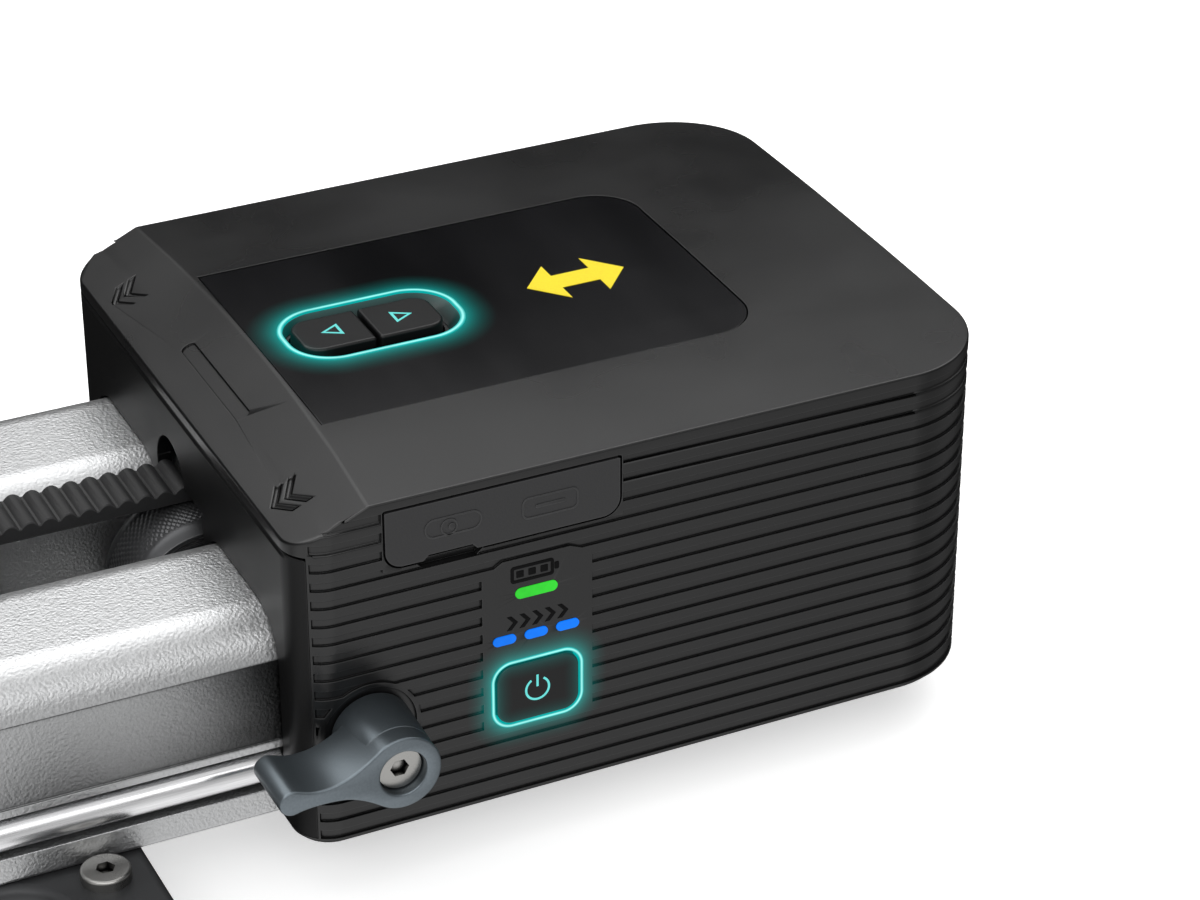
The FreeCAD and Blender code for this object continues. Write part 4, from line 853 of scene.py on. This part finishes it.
def key_pocket():
    """Dished lining between the light ring and the travel keys."""
    x0, x1, y0, y1 = PILL_MM
    crown = (CROWN_Z - MODULE_Z) / MM
    kx0, kx1, ky0, ky1 = KEYS_MM
    inset, gap, bottom, steps = 0.82, 0.75, crown - 1.75, 12
    top = rounded(x0 + inset, x1 - inset, y0 + inset, y1 - inset, PILL_R - inset, steps)
    low = rounded(kx0 - gap, kx1 + gap, ky0 - gap, ky1 + gap, 3.4, steps)
    rings = []
    for (tx, ty), (lx, ly) in zip(top, low):
        section = [at(tx, ty, crown - 0.35), at(tx + (lx - tx) * 0.12, ty + (ly - ty) * 0.12, crown - 0.42),
                   at(tx + (lx - tx) * 0.75, ty + (ly - ty) * 0.75, bottom + 0.25), at(lx, ly, bottom),
                   at(lx, ly, bottom - 0.1), at(tx, ty, bottom - 0.1)]
        rings.append(section)
    mesh = solid_from_rings(rings, "key_pocket")
    shade(mesh, 30)
    own("key_pocket", mesh, "key_plastic", "root")


for cad_node, cad_object in frame["nodes"].items():
    dress(cad_object, SLOT_OF[cad_node])

toothed_belt()
hand_wheel()
clamp_lever()
flap_icons()
front_pictograms()
key_arrows()
power_icon()
key_pocket()

refine("module_shell", 0.07, rim_mm=0.35, segments=3)
dress(refine("module_end_plate", 0.2), "shell_plastic", plate_finish())
for cad_node, width in (("top_panel", 0.06), ("back_rail", 0.15), ("front_rail", 0.15),
                        ("carriage_plate", 0.3), ("carriage_side_front", 0.4), ("carriage_side_back", 0.4),
                        ("end_block", 0.5), ("end_cover", 0.4), ("tripod_plate", 0.4)):
    refine(cad_node, width)
top_line = ring_line("ring_line_top", PILL_MM, PILL_R, PILL_LINE, False)
front_line = ring_line("ring_line_front", POWER_MM, POWER_R, POWER_LINE, True)
dress(frame["nodes"]["top_light_ring"], "ring_light", top_line)
dress(frame["nodes"]["power_light_ring"], "ring_light", front_line)


# ---- floor, light and camera --------------------------------------------------------------------

# Grey levels round the slider by the height of the direction, behind it and in front of it.
SKY_BEHIND = ((-1.0, 0.04), (0.0, 0.02), (0.48, 0.0), (0.54, 0.03), (0.61, 1.7), (0.67, 3.6), (0.80, 2.7),
              (1.0, 0.8))
SKY_BEFORE = ((-1.0, 1.0), (-0.5, 1.0), (0.0, 0.55), (0.5, 0.50), (1.0, 0.9))
CAMERA_PLACE = (0.0910, -0.4563, 0.3230)
CAMERA_AIM = (0.3744, 0.7811, -0.4998)                # direction of view
CAMERA_LENS, CAMERA_SENSOR = 110.9, 36.0


def floor():
    half = 6.0
    mesh = bpy.data.meshes.new("floor")
    corners = ((-half, -half), (half, -half), (half, half), (-half, half))
    mesh.from_pydata([(x, y, FLOOR_Z) for x, y in corners], [], [(0, 1, 2, 3)])
    plane = bpy.data.objects.new("floor", mesh)
    bpy.context.scene.collection.objects.link(plane)
    f = Finish("floor_white", 0.9)
    f.set("Base Color", (0.92, 0.92, 0.92))
    f.set("Specular IOR Level", 0.0)
    cloud = f.span(f.noise(400.0, 2.0), 0.3, 0.7, 0.50, 0.54)
    f.set("Emission Color", (1.0, 1.0, 1.0))
    f.set("Emission Strength", cloud)
    mesh.materials.append(f.material)
    plane.visible_glossy = False
    plane.visible_diffuse = False


def area(name, place, target, size, power):
    data = bpy.data.lights.new(name, "AREA")
    data.shape = "RECTANGLE"
    data.size, data.size_y = size
    data.energy = power
    lamp = bpy.data.objects.new(name, data)
    bpy.context.scene.collection.objects.link(lamp)
    lamp.location = place
    lamp.rotation_mode = "QUATERNION"
    lamp.rotation_quaternion = (Vector(target) - Vector(place)).to_track_quat("-Z", "Y")


def sky_ramp(tree, height, stops):
    """Grey levels by the height of the direction, from -1 straight down to 1 straight up."""
    lift = tree.nodes.new("ShaderNodeMapRange")
    lift.inputs["From Min"].default_value = -1.0
    tree.links.new(height, lift.inputs["Value"])
    ramp = tree.nodes.new("ShaderNodeValToRGB")
    tree.links.new(lift.outputs[0], ramp.inputs[0])
    elements = ramp.color_ramp.elements
    for k, (z, grey) in enumerate(stops):
        if k in (0, len(stops) - 1):
            element = elements[0 if k == 0 else len(elements) - 1]
        else:
            element = elements.new((z + 1) / 2)
        element.color = (grey, grey, grey, 1)
    return ramp.outputs[0]


def studio():
    """Pale tent in front, and behind it a dark wall under a wide overhead panel."""
    world = bpy.data.worlds.new("studio")
    world.use_nodes = True
    tree = world.node_tree
    place = tree.nodes.new("ShaderNodeTexCoord")
    split = tree.nodes.new("ShaderNodeSeparateXYZ")
    tree.links.new(place.outputs["Generated"], split.inputs[0])
    behind = sky_ramp(tree, split.outputs["Z"], SKY_BEHIND)
    before = sky_ramp(tree, split.outputs["Z"], SKY_BEFORE)
    side = tree.nodes.new("ShaderNodeMapRange")
    side.interpolation_type = "SMOOTHSTEP"
    side.inputs["From Min"].default_value = -0.3
    side.inputs["From Max"].default_value = 0.5
    tree.links.new(split.outputs["Y"], side.inputs["Value"])
    mix = tree.nodes.new("ShaderNodeMix")
    mix.data_type = "RGBA"
    tree.links.new(side.outputs[0], mix.inputs[0])
    fade = tree.nodes.new("ShaderNodeMapRange")
    for name, value in (("From Min", 0.25), ("From Max", 0.60), ("To Min", 1.1), ("To Max", 0.35)):
        fade.inputs[name].default_value = value
    tree.links.new(split.outputs["X"], fade.inputs["Value"])
    dim = tree.nodes.new("ShaderNodeVectorMath")
    dim.operation = "SCALE"
    tree.links.new(before, dim.inputs[0])
    tree.links.new(fade.outputs[0], dim.inputs["Scale"])
    tree.links.new(dim.outputs[0], mix.inputs[6])
    tree.links.new(behind, mix.inputs[7])
    tree.links.new(mix.outputs[2], tree.nodes["Background"].inputs["Color"])
    bpy.context.scene.world = world
    aim = (FACE_X + 0.05, 0, 0.04)
    area("key_softbox", (FACE_X - 0.35, -0.85, 0.85), aim, (1.8, 0.5), 5.0)
    area("top_softbox", (FACE_X, 0.35, 1.3), aim, (1.2, 0.6), 2.0)


def camera():
    data = bpy.data.cameras.new("camera")
    data.sensor_width = CAMERA_SENSOR
    data.lens = CAMERA_LENS
    eye = bpy.data.objects.new("camera", data)
    bpy.context.scene.collection.objects.link(eye)
    eye.location = CAMERA_PLACE
    eye.rotation_mode = "QUATERNION"
    eye.rotation_quaternion = Vector(CAMERA_AIM).to_track_quat("-Z", "Y")
    bpy.context.scene.camera = eye


floor()
studio()
camera()
bpy.context.scene.view_settings.view_transform = "Standard"
